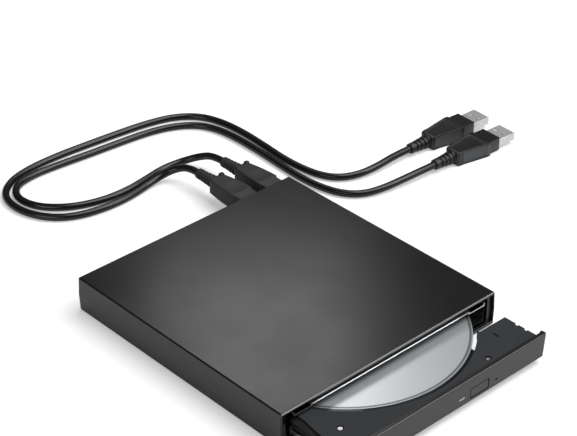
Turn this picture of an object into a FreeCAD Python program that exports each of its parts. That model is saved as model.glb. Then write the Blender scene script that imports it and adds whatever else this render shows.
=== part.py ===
import FreeCAD, Part
import math
import os

import Sketcher
from FreeCAD import Placement, Rotation, Vector

# External disc drive with its tray pulled part way out, in millimetres.
# X runs to the right seen from the tray's side, -Y is that front side and Z is up.
# The origin lies on the table, under the middle of the case.

SIZES = {
    # case
    "case_width": 137.4,
    "case_depth": 142.9,
    "case_height": 19.0,
    "case_wall": 1.8,
    "side_swell": 0.5,
    "rear_swell": 1.0,
    "rear_lean": 0.1,
    "split_level": 9.6,
    "case_edge": 0.8,
    "base_tuck": 0.3,
    "front_rim": 2.2,
    "rim_wall": 1.0,
    "rim_relief": 1.4,
    "drive_gap": 0.4,
    "lip_thickness": 0.8,
    "lip_height": 1.5,
    "lip_gap": 0.3,
    "foot_lift": 1.0,
    "foot_radius": 4.1,
    "foot_recess": 0.5,
    "foot_inset": 9.5,
    "pad_height": 0.5,
    "pad_radius": 3.6,
    "boss_radius": 3.2,
    "boss_setback": 7.4,
    "boss_left": -44.0,
    "boss_right": 20.0,
    # screws
    "case_screw_radius": 1.1,
    "case_head_radius": 2.2,
    "case_head_height": 0.9,
    "case_screw_length": 8.0,
    "drive_screw_radius": 0.9,
    "drive_head_radius": 1.8,
    "drive_head_height": 0.7,
    "drive_screw_spread": 50.0,
    "drive_screw_front": -52.0,
    "drive_screw_rear": 42.0,
    "screw_clearance": 0.05,
    "head_clearance": 0.2,
    # drive frame
    "pan_width": 128.0,
    "pan_depth": 126.2,
    "pan_setback": 0.25,
    "drive_height": 12.7,
    "sheet_metal": 0.6,
    "lid_skirt": 0.5,
    "lid_skirt_drop": 3.0,
    "lid_step_inset": 13.4,
    "lid_step_drop": 0.9,
    "lid_step_depth": 9.4,
    "lid_tab_width": 10.4,
    "lid_screw_radius": 0.7,
    "lid_screw_head": 1.2,
    # tray
    "tray_open": 30.9,
    "bezel_gap": 0.45,
    "bezel_width": 128.7,
    "bezel_height": 12.8,
    "bezel_depth": 4.3,
    "bezel_wall": 1.5,
    "bezel_slant": 1.2,
    "bezel_edge": 0.5,
    "bezel_lip": 2.4,
    "bezel_lip_end": 2.9,
    "tray_length": 124.3,
    "tray_left": -62.6,
    "tray_right": 63.0,
    "wide_depth": 19.9,
    "narrow_right": 45.6,
    "tray_clearance": 0.4,
    "plate_level": 9.9,
    "plate_wall": 1.2,
    "ledge_drop": 1.0,
    "recess_radius": 61.9,
    "recess_depth": 2.8,
    "skirt_wall": 1.0,
    "tray_pocket_radius": 1.7,
    "tray_pocket_depth": 1.0,
    "tray_head_radius": 1.1,
    "tray_head_height": 0.6,
    "right_skirt_face": 43.9,
    "right_skirt_setback": 28.8,
    # rails
    "rail_level": 6.3,
    "rail_reach": 2.2,
    "rail_sheet": 0.4,
    "rail_gap": 0.3,
    "rail_length": 100.0,
    "right_rail_setback": 14.5,
    "runner_height": 0.8,
    "runner_reach": 1.7,
    "guide_wall": 0.7,
    "guide_length": 120.0,
    # disc and spindle
    "disc_radius": 60.0,
    "disc_bore": 7.5,
    "disc_thickness": 1.2,
    "disc_lift": 1.2,
    "disc_across": 1.34,
    "disc_setback": 64.88,
    "rotor_radius": 12.3,
    "rotor_height": 2.0,
    "rotor_wall": 0.8,
    "hub_radius": 11.5,
    "nose_radius": 7.2,
    "nose_height": 2.2,
    "pad_inner": 8.6,
    "pad_thickness": 0.4,
    "pawl_reach": 0.6,
    "shaft_radius": 1.0,
    "stator_radius": 9.5,
    "mount_radius": 13.4,
    # pickup and its frame
    "sled_angle": 43.0,
    "lens_distance": 40.0,
    "sled_length": 18.0,
    "sled_left": -12.5,
    "sled_right": 17.0,
    "sled_height": 3.1,
    "sled_lift": 0.6,
    "rod_radius": 1.0,
    "rod_clearance": 0.06,
    "rod_left": -10.5,
    "rod_right": 14.5,
    "screw_across": -15.0,
    "lead_radius": 1.2,
    "motor_radius": 2.3,
    "frame_sheet": 0.8,
    "frame_gap": 0.3,
    "frame_half_width": 17.0,
    "frame_inner": -22.0,
    "frame_outer": 68.5,
    "window_half": 8.5,
    "damper_radius": 2.6,
    "damper_waist": 1.6,
    "damper_bore": 0.9,
    "holder_length": 12.0,
    "holder_width": 14.0,
    "holder_height": 2.1,
    "holder_lift": 0.6,
    "lens_radius": 2.1,
    "lens_rise": 0.6,
    # eject button, light and latch
    "button_left": 13.2,
    "button_right": 25.7,
    "button_bottom": 4.9,
    "button_top": 10.5,
    "button_gap": 0.5,
    "button_inset": 0.1,
    "button_travel": 0.6,
    "light_left": 6.0,
    "light_right": 9.9,
    "light_level": 7.55,
    "light_height": 1.1,
    "pinhole_across": 30.6,
    "pinhole_level": 7.2,
    "pinhole_radius": 0.6,
    "latch_across": 34.5,
    "latch_setback": 8.8,
    "latch_reach": 10.8,
    "latch_thickness": 1.0,
    "post_across": 39.5,
    "post_radius": 1.2,
    "post_height": 3.1,
    # boards and sockets
    "board_thickness": 1.0,
    "peg_post_radius": 1.3,
    "bridge_left": 38.0,
    "bridge_right": 66.0,
    "bridge_setback": 12.65,
    "bridge_depth": 10.9,
    "usb_across": 45.5,
    "power_across": 63.0,
    "port_level": 10.2,
    "usb_width": 7.7,
    "usb_height": 3.9,
    "usb_depth": 9.0,
    "socket_sheet": 0.3,
    "power_width": 6.0,
    "power_depth": 8.6,
    "socket_setback": 0.7,
    "power_bore": 2.3,
    "power_pin_radius": 0.65,
    "port_margin": 0.35,
    "drive_board_left": 48.6,
    "drive_board_right": 62.6,
    "drive_board_front": -20.0,
    "drive_board_rear": 54.0,
    "drive_board_lift": 0.7,
    "link_left": 46.6,
    "link_right": 62.0,
    # plugs and leads
    "plug_gap": 0.25,
    "neck_length": 9.0,
    "neck_half_width": 5.2,
    "neck_half_height": 4.0,
    "grip_length": 22.3,
    "grip_half_width": 6.3,
    "grip_end_half_width": 5.4,
    "grip_half_height": 4.8,
    "grip_end_half_height": 4.2,
    "grip_round": 1.8,
    "relief_length": 13.5,
    "relief_radius": 4.1,
    "relief_end_radius": 2.9,
    "tip_length": 6.0,
    "tip_clearance": 0.05,
    "lead_diameter": 4.0,
    "plug_half_height": 4.3,
    "plug_neck_half_width": 4.9,
    "plug_half_width": 7.6,
    "plug_collar_half_width": 6.5,
    "plug_collar_half_height": 3.9,
    "plug_start": 16.0,
    "plug_widest": 37.0,
    "plug_collar": 39.0,
    "plug_end": 46.5,
    "shell_length": 12.0,
    "shell_width": 12.0,
    "shell_height": 4.5,
    "shell_sheet": 0.3,
    "plug_relief_start": 3.0,
    "plug_relief_radius": 4.0,
    "plug_relief_end_radius": 3.1,
    "data_plug_x": 150.0,
    "data_plug_y": 66.2,
    "data_plug_turn": -2.5,
    "power_plug_x": 147.5,
    "power_plug_y": 45.3,
    "power_plug_turn": -3.0,
}

# Each lead's way from its rear plug to its type A plug, as points that the runs pass between.
POWER_ROUTE = [
    (63.0, 117.5, 10.2), (63.0, 126.0, 10.2), (61.3, 135.4, 6.4), (54.6, 142.4, 3.0), (43.0, 144.8, 2.0),
    (30.0, 142.4, 2.0), (16.0, 140.3, 2.0), (2.0, 140.8, 2.0), (-11.0, 144.2, 2.0), (-22.0, 150.6, 2.0),
    (-30.5, 160.5, 2.0), (-33.0, 173.0, 2.0), (-27.0, 183.6, 2.0), (-14.0, 187.2, 2.0), (4.0, 186.2, 2.0),
    (24.0, 184.1, 2.0), (44.0, 182.5, 2.0), (62.0, 180.6, 2.0), (77.0, 176.2, 2.0), (88.0, 168.0, 2.0),
    (93.0, 156.0, 2.0), (94.2, 140.0, 2.0), (93.5, 122.0, 2.0), (92.2, 104.0, 2.0), (91.2, 88.0, 2.0),
    (92.4, 73.0, 2.0), (96.2, 60.5, 2.0), (104.0, 52.2, 2.2), (115.0, 48.6, 2.8), (128.0, 46.8, 3.7),
    (141.0, 45.64, 4.3), (150.496, 45.143, 4.3),
]
DATA_ROUTE = [
    (45.5, 117.5, 10.2), (45.5, 125.4, 10.2), (42.8, 132.6, 7.6), (36.4, 136.8, 4.4), (27.8, 137.2, 2.5),
    (17.8, 135.4, 2.0), (7.0, 134.2, 2.0), (-5.0, 134.6, 2.0), (-18.0, 137.2, 2.0), (-29.0, 143.6, 2.0),
    (-36.5, 154.5, 2.0), (-39.3, 168.0, 2.0), (-36.0, 181.2, 2.0), (-25.0, 190.2, 2.0), (-9.0, 193.8, 2.0),
    (10.0, 194.2, 2.0), (30.0, 192.7, 2.0), (50.0, 191.0, 2.0), (68.0, 188.8, 2.0), (84.0, 184.3, 2.0),
    (95.5, 174.5, 2.0), (100.0, 160.0, 2.0), (100.8, 143.0, 2.0), (99.6, 125.0, 2.0), (98.0, 108.0, 2.0),
    (98.4, 94.0, 2.0), (100.6, 82.0, 2.0), (106.0, 72.8, 2.2), (116.0, 67.4, 2.7), (129.0, 66.0, 3.5),
    (142.0, 66.55, 4.3), (152.997, 66.069, 4.3),
]


class Size:
    """A length that keeps its number and the sheet expression that it comes from."""

    def __init__(self, text, number):
        self.text = text
        self.number = number

    def __float__(self):
        return self.number

    def __add__(self, other):
        other = as_size(other)
        return Size(f"({self.text} + {other.text})", self.number + other.number)

    def __sub__(self, other):
        other = as_size(other)
        return Size(f"({self.text} - {other.text})", self.number - other.number)

    def __mul__(self, other):
        other = as_size(other)
        return Size(f"({self.text} * {other.text})", self.number * other.number)

    def __truediv__(self, other):
        other = as_size(other)
        return Size(f"({self.text} / {other.text})", self.number / other.number)

    def __neg__(self):
        return Size(f"(0 - {self.text})", -self.number)

    __radd__ = __add__
    __rmul__ = __mul__

    def __rsub__(self, other):
        return as_size(other) - self


def as_size(value):
    return value if isinstance(value, Size) else Size(f"({float(value):.6f})", float(value))


class Sizes:
    """The sheet's named cells."""

    def __init__(self, sheet, names):
        for name in names:
            setattr(self, name, Size(f"{sheet.Name}.{name}", float(sheet.get(name))))


doc = FreeCAD.newDocument("external_disc_drive")
sheet = doc.addObject("Spreadsheet::Sheet", "dims")
for row, (name, number) in enumerate(SIZES.items(), start=1):
    sheet.set(f"A{row}", name)
    sheet.set(f"B{row}", str(number))
    sheet.setAlias(f"B{row}", name)
doc.recompute()
d = Sizes(sheet, SIZES)
subparts = []

# Small clearances and overlaps that every piece shares
PAST = 1.0
ROOT = 0.4


def bind(piece, path, value):
    """Tie one property of a piece to the sheet."""
    piece.setExpression(path, as_size(value).text)


def low_high(pair):
    return as_size(pair[0]), as_size(pair[1])


def box(x, y, z):
    """A block between two values along each axis."""
    piece = doc.addObject("Part::Box", "Block")
    for side, axis, pair in zip(("Length", "Width", "Height"), "xyz", (x, y, z)):
        low, high = low_high(pair)
        bind(piece, side, high - low)
        bind(piece, f"Placement.Base.{axis}", low)
    return piece


TURNS = {
    "x": Rotation(Vector(0, 1, 0), 90),
    "y": Rotation(Vector(1, 0, 0), -90),
    "z": Rotation(),
}


def set_at(piece, start, axis):
    """Stand a piece that was drawn up Z on a point, along the axis."""
    piece.Placement = Placement(Vector(*(float(value) for value in start)), TURNS[axis])
    for letter, value in zip("xyz", start):
        bind(piece, f"Placement.Base.{letter}", value)


def cylinder(start, radius, length, axis="z"):
    piece = doc.addObject("Part::Cylinder", "Round")
    bind(piece, "Radius", radius)
    bind(piece, "Height", length)
    set_at(piece, start, axis)
    return piece


def cone(start, radius, end_radius, length, axis="z"):
    piece = doc.addObject("Part::Cone", "Taper")
    bind(piece, "Radius1", radius)
    bind(piece, "Radius2", end_radius)
    bind(piece, "Height", length)
    set_at(piece, start, axis)
    return piece


def ring(start, outer, inner, length, axis="z"):
    return cut(cylinder(start, outer, length, axis), cylinder(start, inner, length, axis))


def fuse(*pieces):
    whole = doc.addObject("Part::MultiFuse", "Joined")
    whole.Shapes = list(pieces)
    whole.Refine = True
    return whole


def cut(piece, *tools):
    """A piece less one or more tools."""
    left = doc.addObject("Part::Cut", "Cut")
    left.Base = piece
    left.Tool = tools[0] if len(tools) == 1 else fuse(*tools)
    left.Refine = True
    return left


def common(first, second):
    shared = doc.addObject("Part::Common", "Shared")
    shared.Base = first
    shared.Tool = second
    return shared


def group(*pieces):
    """Separate solids kept together."""
    together = doc.addObject("Part::Compound", "Group")
    together.Links = list(pieces)
    return together


def new_sketch(body, plane, offset):
    sketch = body.newObject("Sketcher::SketchObject", "Sketch")
    face = next(part for part in body.Origin.OriginFeatures if part.Role == f"{plane}_Plane")
    sketch.AttachmentSupport = [(face, "")]
    sketch.MapMode = "FlatFace"
    bind(sketch, "AttachmentOffset.Base.z", offset)
    return sketch


def draw_outline(sketch, points):
    """A closed outline of straight lines, with each corner tied to the sheet."""
    corners = [Vector(float(x), float(y), 0) for x, y in points]
    count = len(corners)
    for index, corner in enumerate(corners):
        sketch.addGeometry(Part.LineSegment(corner, corners[(index + 1) % count]), False)
    for index in range(count):
        sketch.addConstraint(Sketcher.Constraint("Coincident", index, 2, (index + 1) % count, 1))
    for index, place in enumerate(points):
        for axis, value in zip("XY", place):
            held = Sketcher.Constraint(f"Distance{axis}", -1, 1, index, 1, float(value))
            number = sketch.addConstraint(held)
            label = f"corner_{axis}_{index}"
            sketch.renameConstraint(number, label)
            bind(sketch, f"Constraints.{label}", value)


def prism(plane, points, pair):
    """An outline drawn on one plane and padded between two values square to it."""
    low, high = low_high(pair)
    body = doc.addObject("PartDesign::Body", "Body")
    sketch = new_sketch(body, plane, -high if plane == "XZ" else low)
    draw_outline(sketch, points)
    pad = body.newObject("PartDesign::Pad", "Pad")
    pad.Profile = sketch
    bind(pad, "Length", high - low)
    return body


def tapered(low, high):
    """A block with sloping sides. Each end is its X pair, Y pair and level."""
    (low_x, low_y, bottom), (high_x, high_y, top) = low, high
    across = prism("XZ", [(low_x[0], bottom), (low_x[1], bottom), (high_x[1], top), (high_x[0], top)],
                   (low_y[0] - PAST, low_y[1] + high_y[1] - low_y[0]))
    sideways = prism("YZ", [(low_y[0], bottom), (low_y[1], bottom), (high_y[1], top), (high_y[0], top)],
                     (low_x[0] + high_x[0], low_x[1] + high_x[1]))
    return common(across, sideways)


def turned(profile, start=(0, 0, 0), axis="z"):
    """A half outline of radius and length, spun about its axis."""
    body = doc.addObject("PartDesign::Body", "Body")
    sketch = new_sketch(body, "XZ", 0)
    draw_outline(sketch, profile)
    spun = body.newObject("PartDesign::Revolution", "Revolution")
    spun.Profile = sketch
    spun.ReferenceAxis = (sketch, ["V_Axis"])
    spun.Angle = 360
    set_at(body, start, axis)
    return body


def upright(edge):
    """True for the corner edges that climb a wall."""
    if len(edge.Vertexes) != 2:
        return False
    run = edge.Vertexes[1].Point - edge.Vertexes[0].Point
    return run.Length > 0 and abs(run.z) > 0.9 * run.Length


def in_plane(letter, value):
    """A test for edges that lie in one plane square to an axis."""
    place = float(value)

    def test(edge):
        span = edge.BoundBox
        ends = (getattr(span, f"{letter}Min"), getattr(span, f"{letter}Max"))
        return all(abs(end - place) < 0.001 for end in ends)

    return test


def along(letter):
    """A test for straight edges that run along an axis."""

    def test(edge):
        if len(edge.Vertexes) != 2:
            return False
        run = edge.Vertexes[1].Point - edge.Vertexes[0].Point
        return run.Length > 0 and abs(getattr(run, letter)) > 0.999 * run.Length

    return test


def either(first, second):
    return lambda edge: first(edge) or second(edge)


def rounded(body, radius, wanted):
    """Round a body's edges that pass the test."""
    doc.recompute()
    base = body.Tip
    names = [f"Edge{n}" for n, edge in enumerate(base.Shape.Edges, start=1) if wanted(edge)]
    fillet = body.newObject("PartDesign::Fillet", "Fillet")
    fillet.Base = (base, names)
    bind(fillet, "Radius", radius)
    return body


def eased(piece, radius, wanted):
    """Round the edges that pass the test, on a piece made of several."""
    doc.recompute()
    fillet = doc.addObject("Part::Fillet", "Eased")
    fillet.Base = piece
    size = float(radius)
    fillet.Edges = [(n, size, size) for n, edge in enumerate(piece.Shape.Edges, start=1) if wanted(edge)]
    return fillet


def made(shape):
    """A piece whose shape is worked out here, from the sheet's sizes."""
    piece = doc.addObject("Part::Feature", "Moulded")
    piece.Shape = shape
    return piece


def turn_to(piece, x, y, z, angle):
    """Carry a piece from its own axes to its place, turned about Z."""
    piece.Placement = Placement(Vector(float(x), float(y), float(z)), Rotation(Vector(0, 0, 1), angle))
    for letter, value in zip("xyz", (x, y, z)):
        bind(piece, f"Placement.Base.{letter}", value)
    return piece


def keep(name, piece):
    """Name a finished sub-part, which names its file."""
    piece.Label = name
    subparts.append((name, piece))
    return piece


# Levels, from the table up
floor_top = d.foot_lift + d.case_wall
drive_base = floor_top + d.pad_height
pan_floor = drive_base + d.sheet_metal
tray_under = pan_floor + d.tray_clearance
lid_top = drive_base + d.drive_height
lid_under = lid_top - d.sheet_metal
cover_under = d.case_height - d.case_wall
plate_top = drive_base + d.plate_level
plate_under = plate_top - d.plate_wall
ledge_top = plate_top - d.ledge_drop
recess_top = plate_top - d.recess_depth
recess_under = recess_top - d.plate_wall
disc_under = recess_top + d.disc_lift
disc_top = disc_under + d.disc_thickness

# Places along the depth, with the tray where it is pulled out to
case_front = -d.case_depth / 2
case_rear = d.case_depth / 2
rear_swell = case_rear + d.rear_swell
top_rear = rear_swell - d.rear_lean
pan_front = case_front + d.pan_setback
pan_rear = pan_front + d.pan_depth
pan_inner = d.pan_width / 2 - d.sheet_metal
bezel_back = case_front - d.bezel_gap - d.tray_open
bezel_front = bezel_back - d.bezel_depth
bezel_bottom = drive_base + 0.1
bezel_top = bezel_bottom + d.bezel_height
tray_front = bezel_back
tray_rear = bezel_back + d.tray_length
wide_rear = bezel_back + d.wide_depth
disc_x = d.disc_across
disc_y = bezel_back + d.disc_setback
guide_front = pan_front + 1.2

# Places across the width
case_half = d.case_width / 2
swell_half = case_half + d.side_swell
base_half = swell_half - d.base_tuck
base_rear = rear_swell - d.base_tuck
lid_half = d.pan_width / 2 + d.lid_skirt
opening_half = lid_half + d.drive_gap
bezel_half = d.bezel_width / 2


def usb_port(y):
    """The rear wall's opening for the data plug."""
    half_width = d.usb_width / 2 + d.port_margin
    half_height = d.usb_height / 2 + d.port_margin
    return box((d.usb_across - half_width, d.usb_across + half_width), y,
               (d.port_level - half_height, d.port_level + half_height))


def power_port(y):
    """The rear wall's opening for the power plug."""
    radius = d.power_bore + 3 * d.port_margin
    return cylinder((d.power_across, y[0], d.port_level), radius, y[1] - y[0], "y")


REAR_WALL = (case_rear - 4, rear_swell + PAST)
BOSSES = [(d.boss_left, case_rear - d.boss_setback), (d.boss_right, case_rear - d.boss_setback)]
FEET = [(side * (case_half - d.foot_inset), end * (case_rear - d.foot_inset))
        for side in (-1, 1) for end in (-1, 1)]
DRIVE_SCREWS = [(side * d.drive_screw_spread, y)
                for side in (-1, 1) for y in (d.drive_screw_front, d.drive_screw_rear)]


def make_top_cover():
    outer = tapered(((-swell_half, swell_half), (case_front, rear_swell), d.split_level),
                    ((-case_half, case_half), (case_front, top_rear), d.case_height))
    outer = eased(outer, d.case_edge, either(upright, in_plane("Z", d.case_height)))
    inner_front = case_front + d.front_rim
    inner = tapered(((-swell_half + d.case_wall, swell_half - d.case_wall),
                     (inner_front, rear_swell - d.case_wall), d.split_level),
                    ((-case_half + d.case_wall, case_half - d.case_wall),
                     (inner_front, top_rear - d.case_wall), cover_under))
    mouth = box((-opening_half, opening_half), (case_front - PAST, case_front + d.front_rim + PAST),
                (d.split_level - PAST, cover_under))
    rim_y = (case_front - PAST, case_front + d.rim_relief)
    thin_rim = tapered(((-swell_half + d.rim_wall, swell_half - d.rim_wall), rim_y, d.split_level),
                       ((-case_half + d.rim_wall, case_half - d.rim_wall), rim_y,
                        d.case_height - d.rim_wall))
    shell = cut(outer, inner, mouth, thin_rim, usb_port(REAR_WALL), power_port(REAR_WALL))
    boss_under = floor_top + 0.3
    bosses = [cylinder((x, y, boss_under), d.boss_radius, cover_under + ROOT - boss_under)
              for x, y in BOSSES]
    bores = [cylinder((x, y, boss_under - PAST), d.case_screw_radius + d.screw_clearance,
                      d.case_screw_length + 2 * PAST) for x, y in BOSSES]
    keep("top_cover", cut(fuse(shell, *bosses), *bores))


def make_bottom_cover():
    outer = tapered(((-base_half, base_half), (case_front, base_rear), d.foot_lift),
                    ((-swell_half, swell_half), (case_front, rear_swell), d.split_level))
    outer = eased(outer, d.case_edge, upright)
    inner_front = case_front + d.front_rim
    inner = tapered(((-base_half + d.case_wall, base_half - d.case_wall),
                     (inner_front, base_rear - d.case_wall), floor_top),
                    ((-swell_half + d.case_wall, swell_half - d.case_wall),
                     (inner_front, rear_swell - d.case_wall), d.split_level))
    mouth = box((-opening_half, opening_half), (case_front - PAST, case_front + d.front_rim + PAST),
                (floor_top, d.split_level + PAST))
    rim_y = (case_front - PAST, case_front + d.rim_relief)
    thin_rim = tapered(((-base_half + d.rim_wall, base_half - d.rim_wall), rim_y, floor_top),
                       ((-swell_half + d.rim_wall, swell_half - d.rim_wall), rim_y, d.split_level))
    shell = cut(outer, inner, mouth, thin_rim, usb_port(REAR_WALL), power_port(REAR_WALL))
    lip_out = swell_half - d.case_wall - d.lip_gap
    lip_in = lip_out - d.lip_thickness
    lip_y = (case_front + d.front_rim + PAST, case_rear - 20)
    extra = []
    for side in (-1, 1):
        for reach, low, high in ((lip_out, d.split_level - d.lip_height, d.split_level + d.lip_height),
                                 (lip_out + ROOT, d.split_level - d.lip_height, d.split_level)):
            x = (lip_in, reach) if side > 0 else (-reach, -lip_in)
            extra.append(box(x, lip_y, (low, high)))
    extra += [cylinder((x, y, floor_top - ROOT), d.pad_radius, d.pad_height + ROOT)
              for x, y in DRIVE_SCREWS]
    extra += [cylinder((x, y, floor_top - ROOT), d.peg_post_radius, bridge_under - floor_top + ROOT)
              for x, y in BRIDGE_PEGS]
    extra += [cylinder((x, y, floor_top), 0.9, bridge_top + 0.4 - floor_top) for x, y in BRIDGE_PEGS]
    whole = fuse(shell, *extra)
    under = d.foot_lift - PAST
    holes = [cylinder((x, y, under), d.foot_radius, PAST + d.foot_recess) for x, y in FEET]
    for places, radius, head, deep in (
            (BOSSES, d.case_screw_radius, d.case_head_radius, d.case_head_height),
            (DRIVE_SCREWS, d.drive_screw_radius, d.drive_head_radius, d.drive_head_height)):
        for x, y in places:
            holes.append(cylinder((x, y, under), head + d.head_clearance, PAST + deep))
            holes.append(cylinder((x, y, under), radius + d.screw_clearance, 5.0))
    keep("bottom_cover", cut(whole, *holes))


def make_feet():
    bevel = 0.3
    feet = []
    for x, y in FEET:
        base = cone((x, y, 0), d.foot_radius - bevel, d.foot_radius, bevel)
        pad = cylinder((x, y, bevel), d.foot_radius, d.foot_lift + d.foot_recess - bevel)
        feet.append(fuse(base, pad))
    keep("rubber_feet", group(*feet))


def screw(x, y, head_under, head_height, head_radius, radius, tip):
    """A screw that goes up: its head below, its shank above, and a cross slot in the head."""
    head = cylinder((x, y, head_under), head_radius, head_height)
    shank = cylinder((x, y, head_under + head_height - 0.1), radius, tip - head_under - head_height + 0.1)
    reach = head_radius * 0.6
    slots = [box((x - wide, x + wide), (y - deep, y + deep), (head_under - PAST, head_under + 0.35))
             for wide, deep in ((reach, 0.25), (0.25, reach))]
    return cut(fuse(head, shank), *slots)


def make_screws():
    under = d.foot_lift
    keep("case_screws", group(*[
        screw(x, y, under, d.case_head_height, d.case_head_radius, d.case_screw_radius,
              floor_top + d.case_screw_length) for x, y in BOSSES]))
    keep("drive_screws", group(*[
        screw(x, y, under, d.drive_head_height, d.drive_head_radius, d.drive_screw_radius,
              pan_floor + 0.15) for x, y in DRIVE_SCREWS]))


# The bridge board and its sockets stand behind the drive
bridge_top = d.port_level - d.usb_height / 2
bridge_under = bridge_top - d.board_thickness
bridge_front = case_rear - d.bridge_setback
bridge_rear = bridge_front + d.bridge_depth
power_left = d.power_across - d.power_width / 2
power_right = d.power_across + d.power_width / 2
inner_rear = rear_swell - d.case_wall
power_rear = inner_rear - d.socket_setback
power_front = power_rear - d.power_depth
BRIDGE_PEGS = [(d.bridge_left + 2.4, bridge_front + 3.2), (d.bridge_left + 15.2, bridge_rear - 1.8),
               (d.bridge_right - 1.7, bridge_front + 1.2)]


# Each chip's place from the board's corner, its length, its width and its height
BRIDGE_CHIPS = [(12.6, 2.4, 7.0, 5.4, 1.0), (16.9, 8.4, 3.2, 1.5, 0.8), (12.0, 8.6, 1.4, 1.0, 0.6),
                (4.6, 2.2, 2.0, 1.0, 0.7)]
DRIVE_CHIPS = [(2.4, 8.0, 9.0, 9.0, 1.2), (2.0, 22.0, 10.0, 6.0, 1.0), (2.4, 34.0, 6.0, 5.0, 0.9),
               (2.6, 44.0, 8.0, 8.0, 1.1), (1.8, 56.0, 3.0, 2.0, 0.7), (6.8, 56.4, 2.0, 1.2, 0.6)]


def chip(left, front, level, across, back, long, wide, tall):
    """A chip on a board, placed from the board's left front corner."""
    x, y = left + across, front + back
    return box((x, x + long), (y, y + wide), (level, level + tall))


def make_bridge():
    board = box((d.bridge_left, d.bridge_right), (bridge_front, bridge_rear), (bridge_under, bridge_top))
    notch = box((power_left, power_right), (power_front, bridge_rear + PAST),
                (bridge_under - PAST, bridge_top + PAST))
    pegs = [cylinder((x, y, bridge_under - PAST), 0.95, d.board_thickness + 2 * PAST)
            for x, y in BRIDGE_PEGS]
    keep("bridge_board", cut(board, notch, *pegs))
    chips = [chip(d.bridge_left, bridge_front, bridge_top, *sizes) for sizes in BRIDGE_CHIPS]
    chips.append(cylinder((d.bridge_left + 1.6, bridge_front + 7.6, bridge_top), 1.1, 1.9))
    keep("bridge_chips", group(*chips))


# The connector between the drive and the bridge board
board_under = pan_floor + d.drive_board_lift
board_top = board_under + d.board_thickness
link_level = bridge_top - d.board_thickness / 2
link_front = pan_rear + 1.2


def make_link():
    blade_low, blade_high = link_level - 0.4, link_level + 0.4
    header = box((d.link_left, d.link_right), (pan_rear - 4.5, pan_rear + 0.9), (board_top, board_top + 3.6))
    blade = box((d.link_left + 0.7, d.link_right - 0.7), (pan_rear + 0.5, pan_rear + 3.0),
                (blade_low, blade_high))
    keep("drive_connector", fuse(header, blade))
    body = box((d.link_left - 0.3, d.link_right + 0.3), (link_front, bridge_front + 1.7),
               (bridge_under - 1.9, bridge_top + 0.9))
    slot = box((d.link_left + 0.5, d.link_right - 0.5), (link_front - PAST, pan_rear + 3.4),
               (blade_low - 0.2, blade_high + 0.2))
    board_slot = box((d.link_left - PAST, d.link_right + PAST),
                     (bridge_front, bridge_front + 3.0), (bridge_under, bridge_top))
    keep("bridge_connector", cut(body, slot, board_slot))


def make_sockets():
    y = (inner_rear - d.usb_depth + 0.8, inner_rear + 0.8)
    half_width, half_height = d.usb_width / 2, d.usb_height / 2
    sheet_gap = d.socket_sheet
    shell = box((d.usb_across - half_width, d.usb_across + half_width), y,
                (d.port_level - half_height, d.port_level + half_height))
    hollow = box((d.usb_across - half_width + sheet_gap, d.usb_across + half_width - sheet_gap),
                 (y[0] + sheet_gap, y[1] + PAST),
                 (d.port_level - half_height + sheet_gap, d.port_level + half_height - sheet_gap))
    keep("usb_socket_shell", cut(eased(shell, 0.6, along("y")), hollow))
    tongue = box((d.usb_across - 2.2, d.usb_across + 2.2), (y[0] + sheet_gap + 1.2, y[1] - 2.0),
                 (d.port_level - 0.45, d.port_level + 0.45))
    block = box((d.usb_across - half_width + sheet_gap, d.usb_across + half_width - sheet_gap),
                (y[0] + sheet_gap, y[0] + sheet_gap + 1.4),
                (d.port_level - half_height + sheet_gap, d.port_level + half_height - sheet_gap))
    keep("usb_socket_tongue", fuse(tongue, block))
    jack = box((power_left, power_right), (power_front, power_rear),
               (bridge_under - 0.4, d.port_level + 3.2))
    wing = box((power_left - 1.4, power_left + 0.1), (power_front + 1, power_front + 6),
               (bridge_top, bridge_top + 1.2))
    bore = cylinder((d.power_across, power_front + 1.6, d.port_level), d.power_bore, d.power_depth, "y")
    pin_hole = cylinder((d.power_across, power_front + 0.6, d.port_level), d.power_pin_radius, 2.0, "y")
    keep("power_socket_body", cut(fuse(jack, wing), bore, pin_hole))
    pin = cylinder((d.power_across, power_front + 0.6, d.port_level), d.power_pin_radius,
                   d.power_depth - 1.8, "y")
    keep("power_socket_pin", pin)


def make_pan():
    half = d.pan_width / 2
    outer = box((-half, half), (pan_front, pan_rear), (drive_base, lid_under))
    hollow = box((-pan_inner, pan_inner), (pan_front - PAST, pan_rear - d.sheet_metal),
                 (pan_floor, lid_under + PAST))
    gate = box((d.link_left - 0.4, d.link_right + 0.4), (pan_rear - 2, pan_rear + PAST),
               (board_under - 0.3, board_top + 4.0))
    pegs = [cylinder((x, y, drive_base + 0.2), 1.8, board_under - drive_base - 0.2) for x, y in BOARD_PEGS]
    pins = [cylinder((x, y, drive_base + 0.2), 0.8, board_top + 0.4 - drive_base - 0.2)
            for x, y in BOARD_PEGS]
    holes = [cylinder((x, y, drive_base - PAST), d.drive_screw_radius + d.screw_clearance, 3.0)
             for x, y in DRIVE_SCREWS]
    side_holes = [cylinder((side * (half + 2.0) if side < 0 else half - 2.0, y, lid_screw_level),
                           d.lid_screw_radius + d.screw_clearance, 4.0, "x")
                  for side in (-1, 1) for y in LID_SCREW_PLACES]
    keep("drive_pan", cut(fuse(cut(outer, hollow, gate), *pegs, *pins), *holes, *side_holes))


BOARD_PEGS = [(d.drive_board_left + 2.2, d.drive_board_front + 3.0),
              (d.drive_board_right - 2.2, d.drive_board_rear - 12.0)]
LID_SCREW_PLACES = (-45.0, 40.0)
lid_screw_level = lid_top - d.lid_skirt_drop + 0.6


def on_side(side, low, high):
    """A pair of values across the width, mirrored for the left side."""
    return (low, high) if side > 0 else (-high, -low)


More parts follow.
